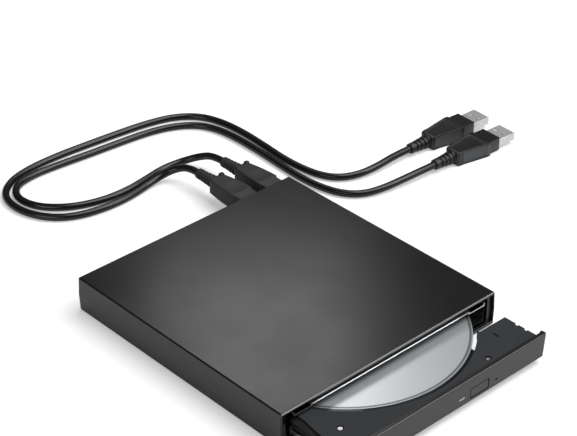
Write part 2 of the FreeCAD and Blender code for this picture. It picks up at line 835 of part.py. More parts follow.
def make_lid():
    front = case_front + 0.05
    step_half = lid_half - d.lid_step_inset
    step_rear = front + d.lid_step_depth
    plate = box((-lid_half, lid_half), (front, pan_rear), (lid_under, lid_top))
    pieces = [plate]
    corners = []
    step_top = lid_top - d.lid_step_drop
    step_under = step_top - d.sheet_metal
    for side in (-1, 1):
        corners.append(box(on_side(side, step_half, lid_half + PAST), (front - PAST, step_rear),
                           (lid_under - PAST, lid_top + PAST)))
        pieces.append(box(on_side(side, lid_half - d.lid_skirt, lid_half), (step_rear, pan_rear - 1),
                          (lid_top - d.lid_skirt_drop - 0.6, lid_top)))
    whole = cut(fuse(*pieces), *corners)
    tabs = []
    for side in (-1, 1):
        tab = box(on_side(side, step_half - 0.2, step_half + d.lid_tab_width), (front, step_rear + 0.2),
                  (step_under, step_top))
        riser = box(on_side(side, step_half - d.sheet_metal, step_half), (front, step_rear + 0.2),
                    (step_under, lid_top))
        tab_end = step_half + d.lid_tab_width
        end_riser = box(on_side(side, tab_end - d.sheet_metal, tab_end), (front, step_rear + 0.2),
                        (step_under, lid_top))
        rear_riser = box(on_side(side, step_half - d.sheet_metal, tab_end),
                         (step_rear, step_rear + d.sheet_metal), (step_under, lid_top))
        tabs += [tab, riser, end_riser, rear_riser]
    shank_holes = [cylinder((side * (lid_half + 1.0) if side < 0 else lid_half - 2.0, y, lid_screw_level),
                            d.lid_screw_radius + d.screw_clearance, 3.0, "x")
                   for side in (-1, 1) for y in LID_SCREW_PLACES]
    keep("drive_lid", cut(fuse(whole, *tabs), *shank_holes))
    screws = []
    for side in (-1, 1):
        for y in LID_SCREW_PLACES:
            inner = pan_inner - 0.3
            if side > 0:
                shank = cylinder((inner, y, lid_screw_level), d.lid_screw_radius, lid_half - inner + 0.1, "x")
                head = cylinder((lid_half, y, lid_screw_level), d.lid_screw_head, 0.5, "x")
            else:
                shank = cylinder((-lid_half - 0.1, y, lid_screw_level), d.lid_screw_radius,
                                 lid_half - inner + 0.1, "x")
                head = cylinder((-lid_half - 0.5, y, lid_screw_level), d.lid_screw_head, 0.5, "x")
            screws.append(fuse(shank, head))
    keep("lid_screws", group(*screws))


def make_drive_board():
    board = box((d.drive_board_left, d.drive_board_right), (d.drive_board_front, d.drive_board_rear),
                (board_under, board_top))
    tail = box((d.link_left, d.drive_board_left + ROOT), (pan_rear - 5.0, d.drive_board_rear),
               (board_under, board_top))
    pins = [cylinder((x, y, board_under - PAST), 0.85, d.board_thickness + 2 * PAST) for x, y in BOARD_PEGS]
    keep("drive_board", cut(fuse(board, tail), *pins))
    chips = [chip(d.drive_board_left, d.drive_board_front, board_top, *sizes) for sizes in DRIVE_CHIPS]
    keep("drive_chips", group(*chips))


def channel(web, mouth, inner_half, wall, root=0):
    """A C section: its web's outer face, where its flanges end, and half the height inside it."""
    out = inner_half + wall
    level = d.rail_level
    inward = wall if float(mouth) > float(web) else -wall
    return [(web, level - out - root), (mouth, level - out - root), (mouth, level - inner_half),
            (web + inward, level - inner_half), (web + inward, level + inner_half),
            (mouth, level + inner_half), (mouth, level + out), (web, level + out)]


# Rails: the tray's runner slides in a steel rail, and the rail slides in a plastic guide
left_skirt_face = -pan_inner + d.guide_wall + d.rail_gap + d.rail_reach + d.rail_gap
rail_inner_half = d.runner_height / 2 + d.rail_gap
guide_inner_half = rail_inner_half + d.rail_sheet + d.rail_gap
rail_shift = d.tray_open / 2


def make_rails():
    guide_y = (guide_front, guide_front + d.guide_length)
    left_mouth = left_skirt_face - d.rail_gap
    left_rail_web = left_mouth - d.rail_reach
    keep("left_guide", prism("XZ", channel(-pan_inner, left_mouth, guide_inner_half, d.guide_wall), guide_y))
    rail_front = guide_front - 0.5 - rail_shift
    rail_rear = rail_front + d.rail_length
    keep("left_rail", prism("XZ", channel(left_rail_web, left_mouth, rail_inner_half, d.rail_sheet),
                            (rail_front, rail_rear)))
    right_mouth = d.right_skirt_face + d.rail_gap
    right_rail_web = right_mouth + d.rail_reach
    right_guide_web = right_rail_web + d.rail_gap + d.guide_wall
    root = d.rail_level - guide_inner_half - d.guide_wall - pan_floor
    keep("right_guide", prism("XZ", channel(right_guide_web, right_mouth, guide_inner_half,
                                            d.guide_wall, root), guide_y))
    keep("right_rail", prism("XZ", channel(right_rail_web, right_mouth, rail_inner_half, d.rail_sheet),
                             (rail_front + d.right_rail_setback, rail_rear)))


# Latch: its post stands where the hook is when the tray is shut
latch_y = tray_front + d.latch_setback
hook_face = latch_y + d.latch_reach
post_y = hook_face - 0.15 - d.post_radius + d.tray_open
latch_level = d.rail_level - 0.7
TRAY_SCREWS = [(33.4, tray_front + 3.6), (-50.8, tray_front + 13.4)]


def make_latch():
    keep("catch_post", cylinder((d.post_across, post_y, pan_floor), d.post_radius, d.post_height))
    tip = d.post_across + 0.7
    x = d.latch_across
    arm = prism("XY", [(x - 1.5, latch_y), (x + 1.5, latch_y), (x + 1.9, hook_face), (tip, hook_face),
                       (tip, hook_face + 0.5), (x + 2.7, hook_face + 3.8), (x - 0.1, hook_face + 3.8)],
                (latch_level, latch_level + d.latch_thickness))
    eye = cylinder((x, latch_y, latch_level), 2.3, d.latch_thickness)
    bore = cylinder((x, latch_y, latch_level - PAST), 1.05, d.latch_thickness + 2 * PAST)
    keep("latch_hook", cut(fuse(arm, eye), bore))
    coil = box((15.5, 27.5), (tray_front + 10.8, tray_front + 17.8), (tray_board_top, tray_board_top + 3.7))
    plunger = cylinder((27.3, tray_front + 14.3, tray_board_top + 1.8), 1.0, 4.0, "x")
    keep("latch_solenoid", fuse(coil, plunger))


tray_board_under = tray_under + 0.1
tray_board_top = tray_board_under + 0.8
button_back = bezel_front + d.bezel_wall + 1.05


def make_tray_board():
    board = box((2.0, 30.5), (tray_front + 1.6, tray_front + 18.8), (tray_board_under, tray_board_top))
    keep("tray_board", board)
    middle = (d.button_left + d.button_right) / 2
    press_level = tray_board_top + 2.2
    switch_front = button_back + d.button_travel + 0.55
    switch = box((middle - 3.0, middle + 3.0), (switch_front, tray_front + 3.6),
                 (tray_board_top, tray_board_top + 3.4))
    knob = cylinder((middle, button_back + d.button_travel + 0.05, press_level), 0.75, 0.6, "y")
    keep("eject_switch", fuse(switch, knob))
    light_x = (d.light_left + 0.2, d.light_right - 0.2)
    lamp = box(light_x, (tray_front + 1.9, tray_front + 4.6), (tray_board_top, d.light_level + 0.7))
    keep("status_led", lamp)
    guide_front_face = bezel_front + 0.1
    bar = box((d.light_left + 0.05, d.light_right - 0.05), (guide_front_face, tray_front + 1.6),
              (d.light_level - d.light_height / 2 + 0.05, d.light_level + d.light_height / 2 - 0.05))
    collar = box((d.light_left - 0.6, d.light_right + 0.6), (bezel_front + d.bezel_wall, bezel_front + 2.6),
                 (d.light_level - 0.9, d.light_level + 0.9))
    keep("light_pipe", fuse(bar, collar))


def make_bezel():
    slant = d.bezel_slant
    front = prism("XZ", [(-bezel_half, bezel_bottom), (bezel_half - slant, bezel_bottom),
                         (bezel_half, bezel_top), (-bezel_half, bezel_top)], (bezel_front, bezel_back))
    rounded(front, d.bezel_edge, in_plane("Y", bezel_front))
    lip_back = bezel_front + d.bezel_lip
    shelf = box((-bezel_half - PAST, bezel_half + PAST), (lip_back, bezel_back + PAST),
                (plate_top, bezel_top + PAST))
    hollow_z = (bezel_bottom + 0.8, plate_top - d.plate_wall)
    hollows = []
    for left, right in ((-bezel_half + 2.0, -31.0), (-29.6, 0.6), (2.0, 32.6), (34.0, bezel_half - 3.0)):
        hollows.append(box((left, right), (bezel_front + d.bezel_wall, bezel_back + PAST), hollow_z))
    through = (bezel_front - PAST, bezel_front + d.bezel_wall + PAST)
    window = box((d.button_left, d.button_right), through, (d.button_bottom, d.button_top))
    window = eased(window, 1.0, along("y"))
    slit = box((d.light_left, d.light_right), through,
               (d.light_level - d.light_height / 2, d.light_level + d.light_height / 2))
    pinhole = cylinder((d.pinhole_across, through[0], d.pinhole_level), d.pinhole_radius,
                       through[1] - through[0], "y")
    ear = box((bezel_half - 1.5, bezel_half - 0.1), (lip_back - ROOT, bezel_front + d.bezel_lip_end),
              (plate_top - ROOT, bezel_top))
    keep("bezel", fuse(cut(front, shelf, *hollows, window, slit, pinhole), ear))
    gap = d.button_gap
    cap = box((d.button_left + gap, d.button_right - gap),
              (bezel_front + d.button_inset, bezel_front + d.bezel_wall + 0.3),
              (d.button_bottom + gap, d.button_top - gap))
    cap = eased(cap, 0.85, along("y"))
    flange = box((d.button_left - 0.8, d.button_right + 0.8),
                 (bezel_front + d.bezel_wall + 0.05, button_back),
                 (d.button_bottom - 0.55, d.button_top + 0.6))
    keep("eject_button", fuse(cap, flange))


# The pickup's frame is drawn with its first axis from the spindle out along the pickup's travel
travel_turn = 270.0 - float(d.sled_angle)
sled_under = pan_floor + d.sled_lift
sled_top = sled_under + d.sled_height
rod_level = sled_under + 1.6
frame_under = sled_top + d.frame_gap
frame_top = frame_under + d.frame_sheet
DAMPERS = [(-18.5, -13.0), (-18.5, 13.0), (40.0, -21.0), (40.0, 21.0)]
rod_inner, rod_outer = d.frame_inner + 34.5, d.frame_outer - 1.0


def on_travel(piece):
    return turn_to(group(piece), disc_x, disc_y, 0, travel_turn)


def make_tray():
    outline = [(d.tray_left, tray_front), (d.tray_right, tray_front), (d.tray_right, wide_rear),
               (d.narrow_right, wide_rear), (d.narrow_right, tray_rear), (d.tray_left, tray_rear)]
    plate = prism("XY", outline, (recess_under, plate_top))
    above = (recess_top, plate_top + PAST)
    recess = cylinder((disc_x, disc_y, above[0]), d.recess_radius, above[1] - above[0])
    edge_x = (left_skirt_face - 0.6, left_skirt_face + 1.2, left_skirt_face - 1.9)
    left_step = prism("XY", [
        (d.tray_left - PAST, tray_front - PAST), (edge_x[0], tray_front - PAST),
        (edge_x[0], tray_front + 16.8), (edge_x[1], tray_front + 27.8), (edge_x[1], tray_front + 36.8),
        (edge_x[2], tray_front + 42.8), (edge_x[2], tray_rear + PAST), (d.tray_left - PAST, tray_rear + PAST)],
        (ledge_top, plate_top + PAST))
    rim_radius = d.recess_radius + d.plate_wall
    reliefs = []
    for x, y in (((d.tray_left + d.plate_wall, -30.4), (tray_front + 1.5, wide_rear - d.plate_wall)),
                 ((-29.2, 31.0), (tray_front + 1.5, wide_rear - d.plate_wall)),
                 ((37.5, d.tray_right - d.plate_wall), (tray_front + 1.5, wide_rear - d.plate_wall)),
                 ((left_skirt_face + 0.2, d.narrow_right - d.plate_wall), (-20.0, tray_rear - d.plate_wall))):
        under = box(x, y, (recess_under - PAST, plate_under))
        rim = cylinder((disc_x, disc_y, recess_under - 2 * PAST), rim_radius, 3 * PAST + d.recess_depth)
        reliefs.append(cut(under, rim))
    notch_block = prism("XY", [(36.0, -91.2), (48.0, -84.5), (48.0, -70.0), (42.0, -70.0), (42.0, -77.0),
                               (36.0, -85.8)], (recess_under - PAST, plate_top + PAST))
    notch = common(notch_block, cylinder((disc_x, disc_y, recess_under - 2 * PAST), d.recess_radius,
                                         4 * PAST + d.recess_depth + d.plate_wall))
    base = cut(plate, recess, left_step, *reliefs, notch)

    skirt_top = recess_under + ROOT
    left_skirt = box((left_skirt_face, left_skirt_face + d.skirt_wall), (tray_front, tray_rear),
                     (tray_under, skirt_top))
    runner_z = (d.rail_level - d.runner_height / 2, d.rail_level + d.runner_height / 2)
    left_runner = box((left_skirt_face - d.runner_reach, left_skirt_face + 0.1),
                      (tray_front + 2.5, tray_rear), runner_z)
    right_start = tray_front + d.right_skirt_setback
    right_skirt = box((d.right_skirt_face - d.skirt_wall, d.right_skirt_face), (right_start, tray_rear),
                      (tray_under, skirt_top))
    right_runner = box((d.right_skirt_face - 0.1, d.right_skirt_face + d.runner_reach),
                       (right_start, tray_rear), runner_z)
    front_wall = box((left_skirt_face, 31.0), (tray_front, tray_front + 1.5), (tray_under, skirt_top))
    doorway = box((4.0, 28.6), (tray_front - PAST, tray_front + 3.0), (tray_under - PAST, recess_under))
    pivot = cylinder((d.latch_across, latch_y, latch_level + d.latch_thickness + 0.1), 2.0,
                     plate_under + ROOT - latch_level - d.latch_thickness - 0.1)
    pin = cylinder((d.latch_across, latch_y, latch_level - 0.4), 1.0, 2.0)
    pin_head = cylinder((d.latch_across, latch_y, latch_level - 0.7), 1.6, 0.6)
    board_posts = [box((x, x + 1.5), (y, y + 1.5), (tray_board_top, recess_under + ROOT))
                   for x, y in ((2.4, tray_front + 12.0), (28.6, tray_front + 16.6))]
    screw_posts = [cylinder((x, y, recess_under), 2.4, plate_under + ROOT - recess_under)
                   for x, y in TRAY_SCREWS]
    body = fuse(base, left_skirt, left_runner, right_skirt, right_runner, cut(front_wall, doorway),
                pivot, pin, pin_head, *board_posts, *screw_posts)

    deep = (recess_under - PAST, recess_top + PAST)
    spindle_hole = cylinder((0, 0, deep[0]), d.mount_radius + 1.1, deep[1] - deep[0])
    slot = box((0, d.frame_outer - 0.9), (d.sled_left + 1.5, 11.0), deep)
    floor_holes = [cylinder((u, v, deep[0]), d.damper_bore, deep[1] - deep[0]) for u, v in DAMPERS]
    window = on_travel(fuse(spindle_hole, slot))
    bores = on_travel(group(*floor_holes))
    pocket_under = plate_top - d.tray_pocket_depth
    pockets = [cylinder((x, y, pocket_under), d.tray_pocket_radius, d.tray_pocket_depth + PAST)
               for x, y in TRAY_SCREWS]
    pockets += [cylinder((x, y, recess_under - PAST), 0.85, 6.0) for x, y in TRAY_SCREWS]
    pockets += [box((48.6, 49.7), (tray_front + 11.4, tray_front + 15.0), (plate_top - 0.6, plate_top + 1))]
    pockets += [box((52.5, 53.7), (tray_front + 2.2, tray_front + 2.7), (plate_top - 0.3, plate_top + 1))]
    pockets += [box((d.tray_right - 0.9, d.tray_right + 1), (y, y + 1.9), (plate_under - 1, plate_top + 1))
                for y in (tray_front + 5.7, tray_front + 11.3)]
    keep("tray", cut(body, window, bores, *pockets))
    screws = []
    for x, y in TRAY_SCREWS:
        head = cylinder((x, y, pocket_under), d.tray_head_radius, d.tray_head_height)
        shank = cylinder((x, y, recess_under + 0.4), 0.8, pocket_under + 0.1 - recess_under - 0.4)
        head_top = pocket_under + d.tray_head_height
        crosses = [box((x - wide, x + wide), (y - deep, y + deep), (head_top - 0.3, head_top + PAST))
                   for wide, deep in ((0.7, 0.16), (0.16, 0.7))]
        screws.append(cut(fuse(head, shank), *crosses))
    keep("tray_screws", group(*screws))


def make_traverse():
    half = d.frame_half_width
    plate = box((d.frame_inner, d.frame_outer), (-half, half), (frame_under, frame_top))
    ears = [cylinder((u, v, frame_under), 3.6, d.frame_sheet) for u, v in DAMPERS[2:]]
    ear_roots = [box((DAMPERS[2][0] - 3.6, DAMPERS[2][0] + 3.6), pair, (frame_under, frame_top))
                 for pair in ((-half - 4.0, -half + ROOT), (half - ROOT, half + 4.0))]
    tabs = []
    for v in (d.rod_left, d.rod_right):
        for u in ((rod_inner - 1, rod_inner), (rod_outer, rod_outer + 1)):
            tabs.append(box(u, (v - 1.8, v + 1.8), (rod_level - 1.4, frame_under + 0.1)))
    tabs.append(box((lead_outer, lead_outer + 1.0), (d.screw_across - 1.8, d.screw_across + 1.8),
                    (rod_level - 1.4, frame_under + 0.1)))
    through = (frame_under - PAST, frame_top + PAST)
    spindle = cylinder((0, 0, through[0]), d.rotor_radius + 0.6, through[1] - through[0])
    window = box((5.0, rod_outer - 1.2), (-d.window_half, d.window_half), through)
    bores = [cylinder((u, v, through[0]), d.damper_waist, through[1] - through[0]) for u, v in DAMPERS]
    keep("traverse_frame", on_travel(cut(fuse(plate, *ears, *ear_roots, *tabs), spindle, window, *bores)))

    dampers = []
    for u, v in DAMPERS:
        spool = turned([
            (d.damper_bore, frame_under - 0.6), (d.damper_radius, frame_under - 0.6),
            (d.damper_radius, frame_under), (d.damper_waist, frame_under), (d.damper_waist, frame_top),
            (d.damper_radius, frame_top), (d.damper_radius, recess_under), (d.damper_bore, recess_under)],
            (u, v, 0))
        dampers.append(spool)
    keep("traverse_dampers", on_travel(group(*dampers)))
    screws = []
    for u, v in DAMPERS:
        head = cylinder((u, v, frame_under - 1.3), 2.1, 0.7)
        shank = cylinder((u, v, frame_under - 0.7), d.damper_bore - d.screw_clearance,
                         recess_top - 0.2 - frame_under + 0.7)
        screws.append(fuse(head, shank))
    keep("traverse_screws", on_travel(group(*screws)))


lead_inner, lead_outer = rod_inner + 5.0, rod_outer - 5.5


def make_sled():
    rods = [cylinder((rod_inner, v, rod_level), d.rod_radius, rod_outer - rod_inner, "x")
            for v in (d.rod_left, d.rod_right)]
    keep("guide_rods", on_travel(group(*rods)))
    u = (d.lens_distance - d.sled_length / 2, d.lens_distance + d.sled_length / 2)
    block = box(u, (d.sled_left, d.sled_right), (sled_under, sled_top))
    nut = box((d.lens_distance - 3, d.lens_distance + 3),
              (d.screw_across + d.lead_radius + 0.2, d.sled_left + 0.1), (rod_level - 0.8, rod_level + 0.8))
    bore = cylinder((u[0] - PAST, d.rod_left, rod_level), d.rod_radius + d.rod_clearance,
                    d.sled_length + 2 * PAST, "x")
    side_slot = box((u[0] - PAST, u[1] + PAST), (d.rod_right - d.rod_radius - 0.1, d.sled_right + PAST),
                    (rod_level - d.rod_radius - 0.06, rod_level + d.rod_radius + 0.06))
    well = box((d.lens_distance - 4, d.lens_distance + 4), (-3.5, 3.5), (sled_under + 1.0, sled_top + PAST))
    keep("pickup_sled", on_travel(cut(fuse(block, nut), bore, side_slot, well)))
    yoke_half = d.holder_length / 2 + 0.6
    yokes = []
    for low, high in ((-yoke_half - 1.4, -yoke_half), (yoke_half, yoke_half + 1.4)):
        yokes.append(box((d.lens_distance + low, d.lens_distance + high), (-5.0, 5.0),
                         (sled_top, sled_top + 2.2)))
    keep("lens_yokes", on_travel(group(*yokes)))
    holder_under = sled_top + d.holder_lift
    holder_top = holder_under + d.holder_height
    half_u, half_v = d.holder_length / 2, d.holder_width / 2
    holder = box((d.lens_distance - half_u, d.lens_distance + half_u), (-half_v, half_v),
                 (holder_under, holder_top))
    holder = eased(holder, 1.2, upright)
    seat = cylinder((d.lens_distance, 0, holder_top - 0.9), d.lens_radius + 0.1, 2.0)
    beam = cylinder((d.lens_distance, 0, holder_under - PAST), d.lens_radius - 0.5, 5.0)
    keep("lens_holder", on_travel(cut(holder, seat, beam)))
    lens_disc = cylinder((d.lens_distance, 0, holder_top - 0.9), d.lens_radius, 0.9)
    ball_radius = (d.lens_radius * d.lens_radius + d.lens_rise * d.lens_rise) / (d.lens_rise * 2)
    ball = doc.addObject("Part::Sphere", "Ball")
    bind(ball, "Radius", ball_radius)
    set_at(ball, (d.lens_distance, 0, holder_top + d.lens_rise - ball_radius), "z")
    crown = common(ball, cylinder((d.lens_distance, 0, holder_top - 0.1), d.lens_radius, 2.0))
    keep("objective_lens", on_travel(fuse(lens_disc, crown)))
    lead = cylinder((lead_inner, d.screw_across, rod_level), d.lead_radius, lead_outer - lead_inner - 0.1, "x")
    keep("lead_screw", on_travel(lead))
    can = common(cylinder((lead_inner - 12.0, d.screw_across, rod_level), d.motor_radius, 11.9, "x"),
                 box((lead_inner - 14, lead_inner), (d.screw_across - 5, d.screw_across + 5),
                     (sled_under - 0.1, frame_under)))
    keep("sled_motor", on_travel(can))


# The spindle is drawn about its own axis
rotor_top = recess_top
hub_top = disc_under - d.pad_thickness


def at_spindle(piece):
    return turn_to(group(piece), disc_x, disc_y, 0, 0)


def make_spindle():
    mount = cylinder((0, 0, frame_under - 0.8), d.mount_radius, 0.8)
    arm = box((-18.0, -5.0), (-9.0, 9.0), (frame_under - 0.8, frame_under))
    core = cylinder((0, 0, frame_under), d.stator_radius, rotor_top - 0.6 - 0.3 - frame_under)
    bearing = cylinder((0, 0, sled_under), 3.0, frame_under - sled_under)
    bore = cylinder((0, 0, sled_under + 0.6), d.shaft_radius + d.screw_clearance, 12.0)
    keep("spindle_stator", on_travel(cut(fuse(mount, arm, core, bearing), bore)))
    rotor = cylinder((0, 0, rotor_top - d.rotor_height), d.rotor_radius, d.rotor_height)
    hollow = cylinder((0, 0, rotor_top - d.rotor_height - PAST), d.rotor_radius - d.rotor_wall,
                      d.rotor_height + PAST - 0.6)
    shaft = cylinder((0, 0, sled_under + 0.9), d.shaft_radius, rotor_top - sled_under - 1.0)
    keep("spindle_rotor", at_spindle(fuse(cut(rotor, hollow), shaft)))
    hub = turned([
        (0, rotor_top), (d.hub_radius, rotor_top), (d.hub_radius, hub_top), (d.nose_radius, hub_top),
        (d.nose_radius, hub_top + d.nose_height - 0.7), (d.nose_radius - 0.7, hub_top + d.nose_height),
        (3.2, hub_top + d.nose_height), (2.4, hub_top + d.nose_height - 0.8),
        (0, hub_top + d.nose_height - 0.8)])
    slots = []
    pawls = []
    for turn in (90, 210, 330):
        for places, low, high, wide in ((slots, 5.4, 8.0, 1.6), (pawls, 5.5, None, 1.5)):
            top = disc_top + 0.55
            reach = d.disc_bore + d.pawl_reach - 0.3 if high is None else high
            bottom = disc_top + 0.05 if high is None else disc_top
            block = box((low, reach), (-wide, wide), (bottom, top if high is None else top + 1.0))
            places.append(turn_to(group(block), 0, 0, 0, turn))
    keep("turntable_hub", at_spindle(cut(hub, *slots)))
    keep("hub_pawls", at_spindle(group(*pawls)))
    pad = ring((0, 0, hub_top), d.hub_radius - 0.2, d.pad_inner, d.pad_thickness)
    keep("turntable_pad", at_spindle(pad))
    disc = ring((0, 0, disc_under), d.disc_radius, d.disc_bore, d.disc_thickness)
    keep("disc", at_spindle(disc))


def rounded_section(half_width, half_height, radius, place):
    """A rounded rectangle square to X."""
    w, h, r = (float(value) for value in (half_width, half_height, radius))
    r = min(r, 0.95 * w, 0.95 * h)
    diagonal = r * (1 - math.sqrt(0.5))
    corners = [(w, h, -1, -1), (-w, h, 1, -1), (-w, -h, 1, 1), (w, -h, -1, 1)]
    edges = []
    arcs = []
    for number, (cy, cz, sy, sz) in enumerate(corners):
        first, second = (cy, cz + sz * r), (cy + sy * r, cz)
        if number % 2:
            first, second = second, first
        middle = (cy + sy * diagonal, cz + sz * diagonal)
        arcs.append([Vector(place, y, z) for y, z in (first, middle, second)])
    for number, (start, middle, end) in enumerate(arcs):
        edges.append(Part.Arc(start, middle, end).toShape())
        edges.append(Part.LineSegment(end, arcs[(number + 1) % 4][0]).toShape())
    return Part.Wire(edges)


def lofted(stations):
    wires = [rounded_section(width, height, radius, float(place))
             for place, width, height, radius in stations]
    return Part.makeLoft(wires, True, True)


def ribbed(start, length, start_radius, end_radius, ribs=5):
    """A tapered strain relief along X, with raised rings."""
    start, length, first, last = (float(value) for value in (start, length, start_radius, end_radius))
    pitch = length / ribs
    points = [Vector(start, 0, 0)]
    for number in range(ribs):
        left = start + number * pitch
        outer = first + (last - first) * (number + 0.3) / ribs
        for along_axis, radius in ((0.0, outer), (0.55, outer), (0.62, outer - 0.7), (0.93, outer - 0.7)):
            points.append(Vector(left + along_axis * pitch, 0, radius))
    points.append(Vector(start + length, 0, last))
    points.append(Vector(start + length, 0, 0))
    points.append(points[0])
    return Part.Face(Part.makePolygon(points)).revolve(Vector(0, 0, 0), Vector(1, 0, 0), 360)


def carry(shape, x, y, z, angle):
    shape.Placement = Placement(Vector(float(x), float(y), float(z)), Rotation(Vector(0, 0, 1), angle))
    return shape


def make_rear_plug(name, across, tip):
    """A moulded plug behind the case, drawn along X and turned to point back along Y."""
    start = d.plug_gap
    neck_end = start + d.neck_length
    grip_end = neck_end + d.grip_length
    neck = lofted([(start, d.neck_half_width, d.neck_half_height, 1.2),
                   (neck_end + 0.5, d.neck_half_width, d.neck_half_height, 1.2)])
    grip = lofted([(neck_end, d.grip_half_width, d.grip_half_height, d.grip_round),
                   (neck_end + d.grip_length * 0.64, d.grip_half_width - 0.2, d.grip_half_height - 0.2,
                    d.grip_round),
                   (grip_end, d.grip_end_half_width, d.grip_end_half_height, d.grip_round + 0.6)])
    relief = ribbed(grip_end - 0.2, d.relief_length + 0.2, d.relief_radius, d.relief_end_radius)
    whole = neck.fuse([grip, relief]).removeSplitter()
    keep(f"{name}_rear_plug", made(carry(whole, across, rear_swell, d.port_level, 90)))
    keep(f"{name}_rear_tip", made(carry(tip, across, rear_swell, d.port_level, 90)))


def usb_tip():
    """The small hollow metal tip of the data plug."""
    start, end = -float(d.case_wall + d.tip_length - 1.0), float(d.plug_gap)
    half_width = float(d.usb_width / 2 - d.socket_sheet - 0.15)
    half_height = float(d.usb_height / 2 - d.socket_sheet - 0.15)
    outer = lofted([(start, half_width, half_height, 0.5), (end, half_width, half_height, 0.5)])
    inner = lofted([(start - 1, half_width - 0.3, half_height - 0.3, 0.3),
                    (end - 0.8, half_width - 0.3, half_height - 0.3, 0.3)])
    return outer.cut(inner)


def power_tip():
    """The barrel of the power plug."""
    length = float(d.case_wall + d.tip_length - 1.0 + d.plug_gap)
    start = Vector(float(d.plug_gap) - length, 0, 0)
    along_x = Vector(1, 0, 0)
    outer = Part.makeCylinder(float(d.power_bore - d.tip_clearance), length, start, along_x)
    inner = Part.makeCylinder(float(d.power_pin_radius + d.tip_clearance), length - 0.8, start, along_x)
    return outer.cut(inner)


def make_type_a_plug(name, x, y, turn):
    """A type A plug lying on the table, drawn along X from the lead to its metal shell."""
    narrow, wide = d.plug_neck_half_width, d.plug_half_width
    tall = d.plug_half_height
    taper_start = d.plug_start + 5.0
    grip = lofted([(d.plug_start, narrow - 0.4, tall - 0.6, 1.6), (d.plug_start + 1.2, narrow, tall - 0.1, 1.6),
                   (taper_start, narrow + 0.1, tall - 0.1, 1.6), (d.plug_widest, wide, tall, 1.8),
                   (d.plug_collar - 0.5, wide - 0.2, tall, 1.8), (d.plug_collar, wide - 0.7, tall - 0.4, 1.6)])
    collar = lofted([(d.plug_collar - 0.4, d.plug_collar_half_width, d.plug_collar_half_height, 1.0),
                     (d.plug_end, d.plug_collar_half_width, d.plug_collar_half_height, 1.0)])
    relief = ribbed(d.plug_relief_start, d.plug_start - d.plug_relief_start + 0.2,
                    d.plug_relief_end_radius, d.plug_relief_radius)
    tongue = Part.makeBox(float(d.shell_length) - 0.6, float(d.shell_width - 2 * d.shell_sheet) - 0.8, 1.7,
                          Vector(float(d.plug_end) - 0.2, -float(d.shell_width / 2 - d.shell_sheet) + 0.4,
                                 0.02))
    body = grip.fuse([collar, relief, tongue]).removeSplitter()
    keep(f"{name}_plug_body", made(carry(body, x, y, tall, turn)))
    sections = []
    for inset, start, end in ((0.0, d.plug_end, d.plug_end + d.shell_length),
                              (d.shell_sheet, d.plug_end - PAST, d.plug_end + d.shell_length + PAST)):
        sections.append(lofted([(start, d.shell_width / 2 - inset, d.shell_height / 2 - inset, 0.4),
                                (end, d.shell_width / 2 - inset, d.shell_height / 2 - inset, 0.4)]))
    latch_holes = [Part.makeBox(2.0, 2.2, 8.0, Vector(float(d.plug_end) + 5.2, side * 2.9 - 1.1, 1.0))
                   for side in (-1, 1)]
    shell = sections[0].cut(sections[1]).cut(latch_holes[0]).cut(latch_holes[1])
    keep(f"{name}_plug_shell", made(carry(shell, x, y, tall, turn)))


def make_lead(name, route, radius):
    """A round lead: straight runs joined by arcs as large as the runs allow."""
    points = [Vector(*place) for place in route]
    edges = []
    radii = []
    start = points[0]
    length = 0.0
    for before, corner, after in zip(points, points[1:], points[2:]):
        into, out = corner - before, after - corner
        turn = into.getAngle(out)
        share = 0.45 * min(into.Length, out.Length)
        bend = share / math.tan(turn / 2)
        into.normalize()
        out.normalize()
        first, last = corner - into * share, corner + out * share
        inward = out - into
        inward.normalize()
        middle = corner + inward * (bend / math.cos(turn / 2) - bend)
        edges.append(Part.LineSegment(start, first).toShape())
        edges.append(Part.Arc(first, middle, last).toShape())
        length += (first - start).Length + bend * turn
        radii.append(bend)
        start = last
    edges.append(Part.LineSegment(start, points[-1]).toShape())
    length += (points[-1] - start).Length
    path = Part.Wire(edges)
    profile = Part.Wire(Part.makeCircle(radius, points[0], points[1] - points[0]))
    tube = path.makePipeShell([profile], True, False)
    wanted = math.pi * radius ** 2 * length
    runs = [(b - a).Length for a, b in zip(points, points[1:])]
    ratio = max(max(a, b) / min(a, b) for a, b in zip(runs, runs[1:]))
    print(f"{name}: length {length:.1f}, smallest radius {min(radii):.1f}, runs {min(runs):.1f} to "
          f"{max(runs):.1f}, worst ratio {ratio:.2f}, volume {tube.Volume / wanted:.4f} of the expected")
    print("  radii", " ".join(f"{value:.0f}" for value in radii))
    keep(name, made(tube))


make_top_cover()
make_bottom_cover()
make_feet()
make_screws()
make_bridge()
make_link()
make_sockets()
make_pan()
make_lid()
make_drive_board()
make_rails()
make_latch()
make_tray_board()
make_bezel()
make_tray()
make_traverse()
make_sled()
make_spindle()
make_rear_plug("data", d.usb_across, usb_tip())
make_rear_plug("power", d.power_across, power_tip())
make_type_a_plug("data", d.data_plug_x, d.data_plug_y, float(d.data_plug_turn))
make_type_a_plug("power", d.power_plug_x, d.power_plug_y, float(d.power_plug_turn))
make_lead("data_cord", DATA_ROUTE, float(d.lead_diameter) / 2)
make_lead("power_cord", POWER_ROUTE, float(d.lead_diameter) / 2)

doc.recompute()
for item in doc.Objects:
    if "Invalid" in item.State or "Error" in item.State:
        raise RuntimeError(f"{item.Label} ({item.Name}) did not build: {item.State}")
for name, piece in subparts:
    if piece.Shape.isNull() or not piece.Shape.isValid() or not piece.Shape.Solids:
        raise RuntimeError(f"{name} has no valid solid")

os.makedirs("parts", exist_ok=True)
for name, piece in subparts:
    piece.Shape.exportStep(os.path.join("parts", f"{name}.step"))
print(len(subparts), "sub-parts written")
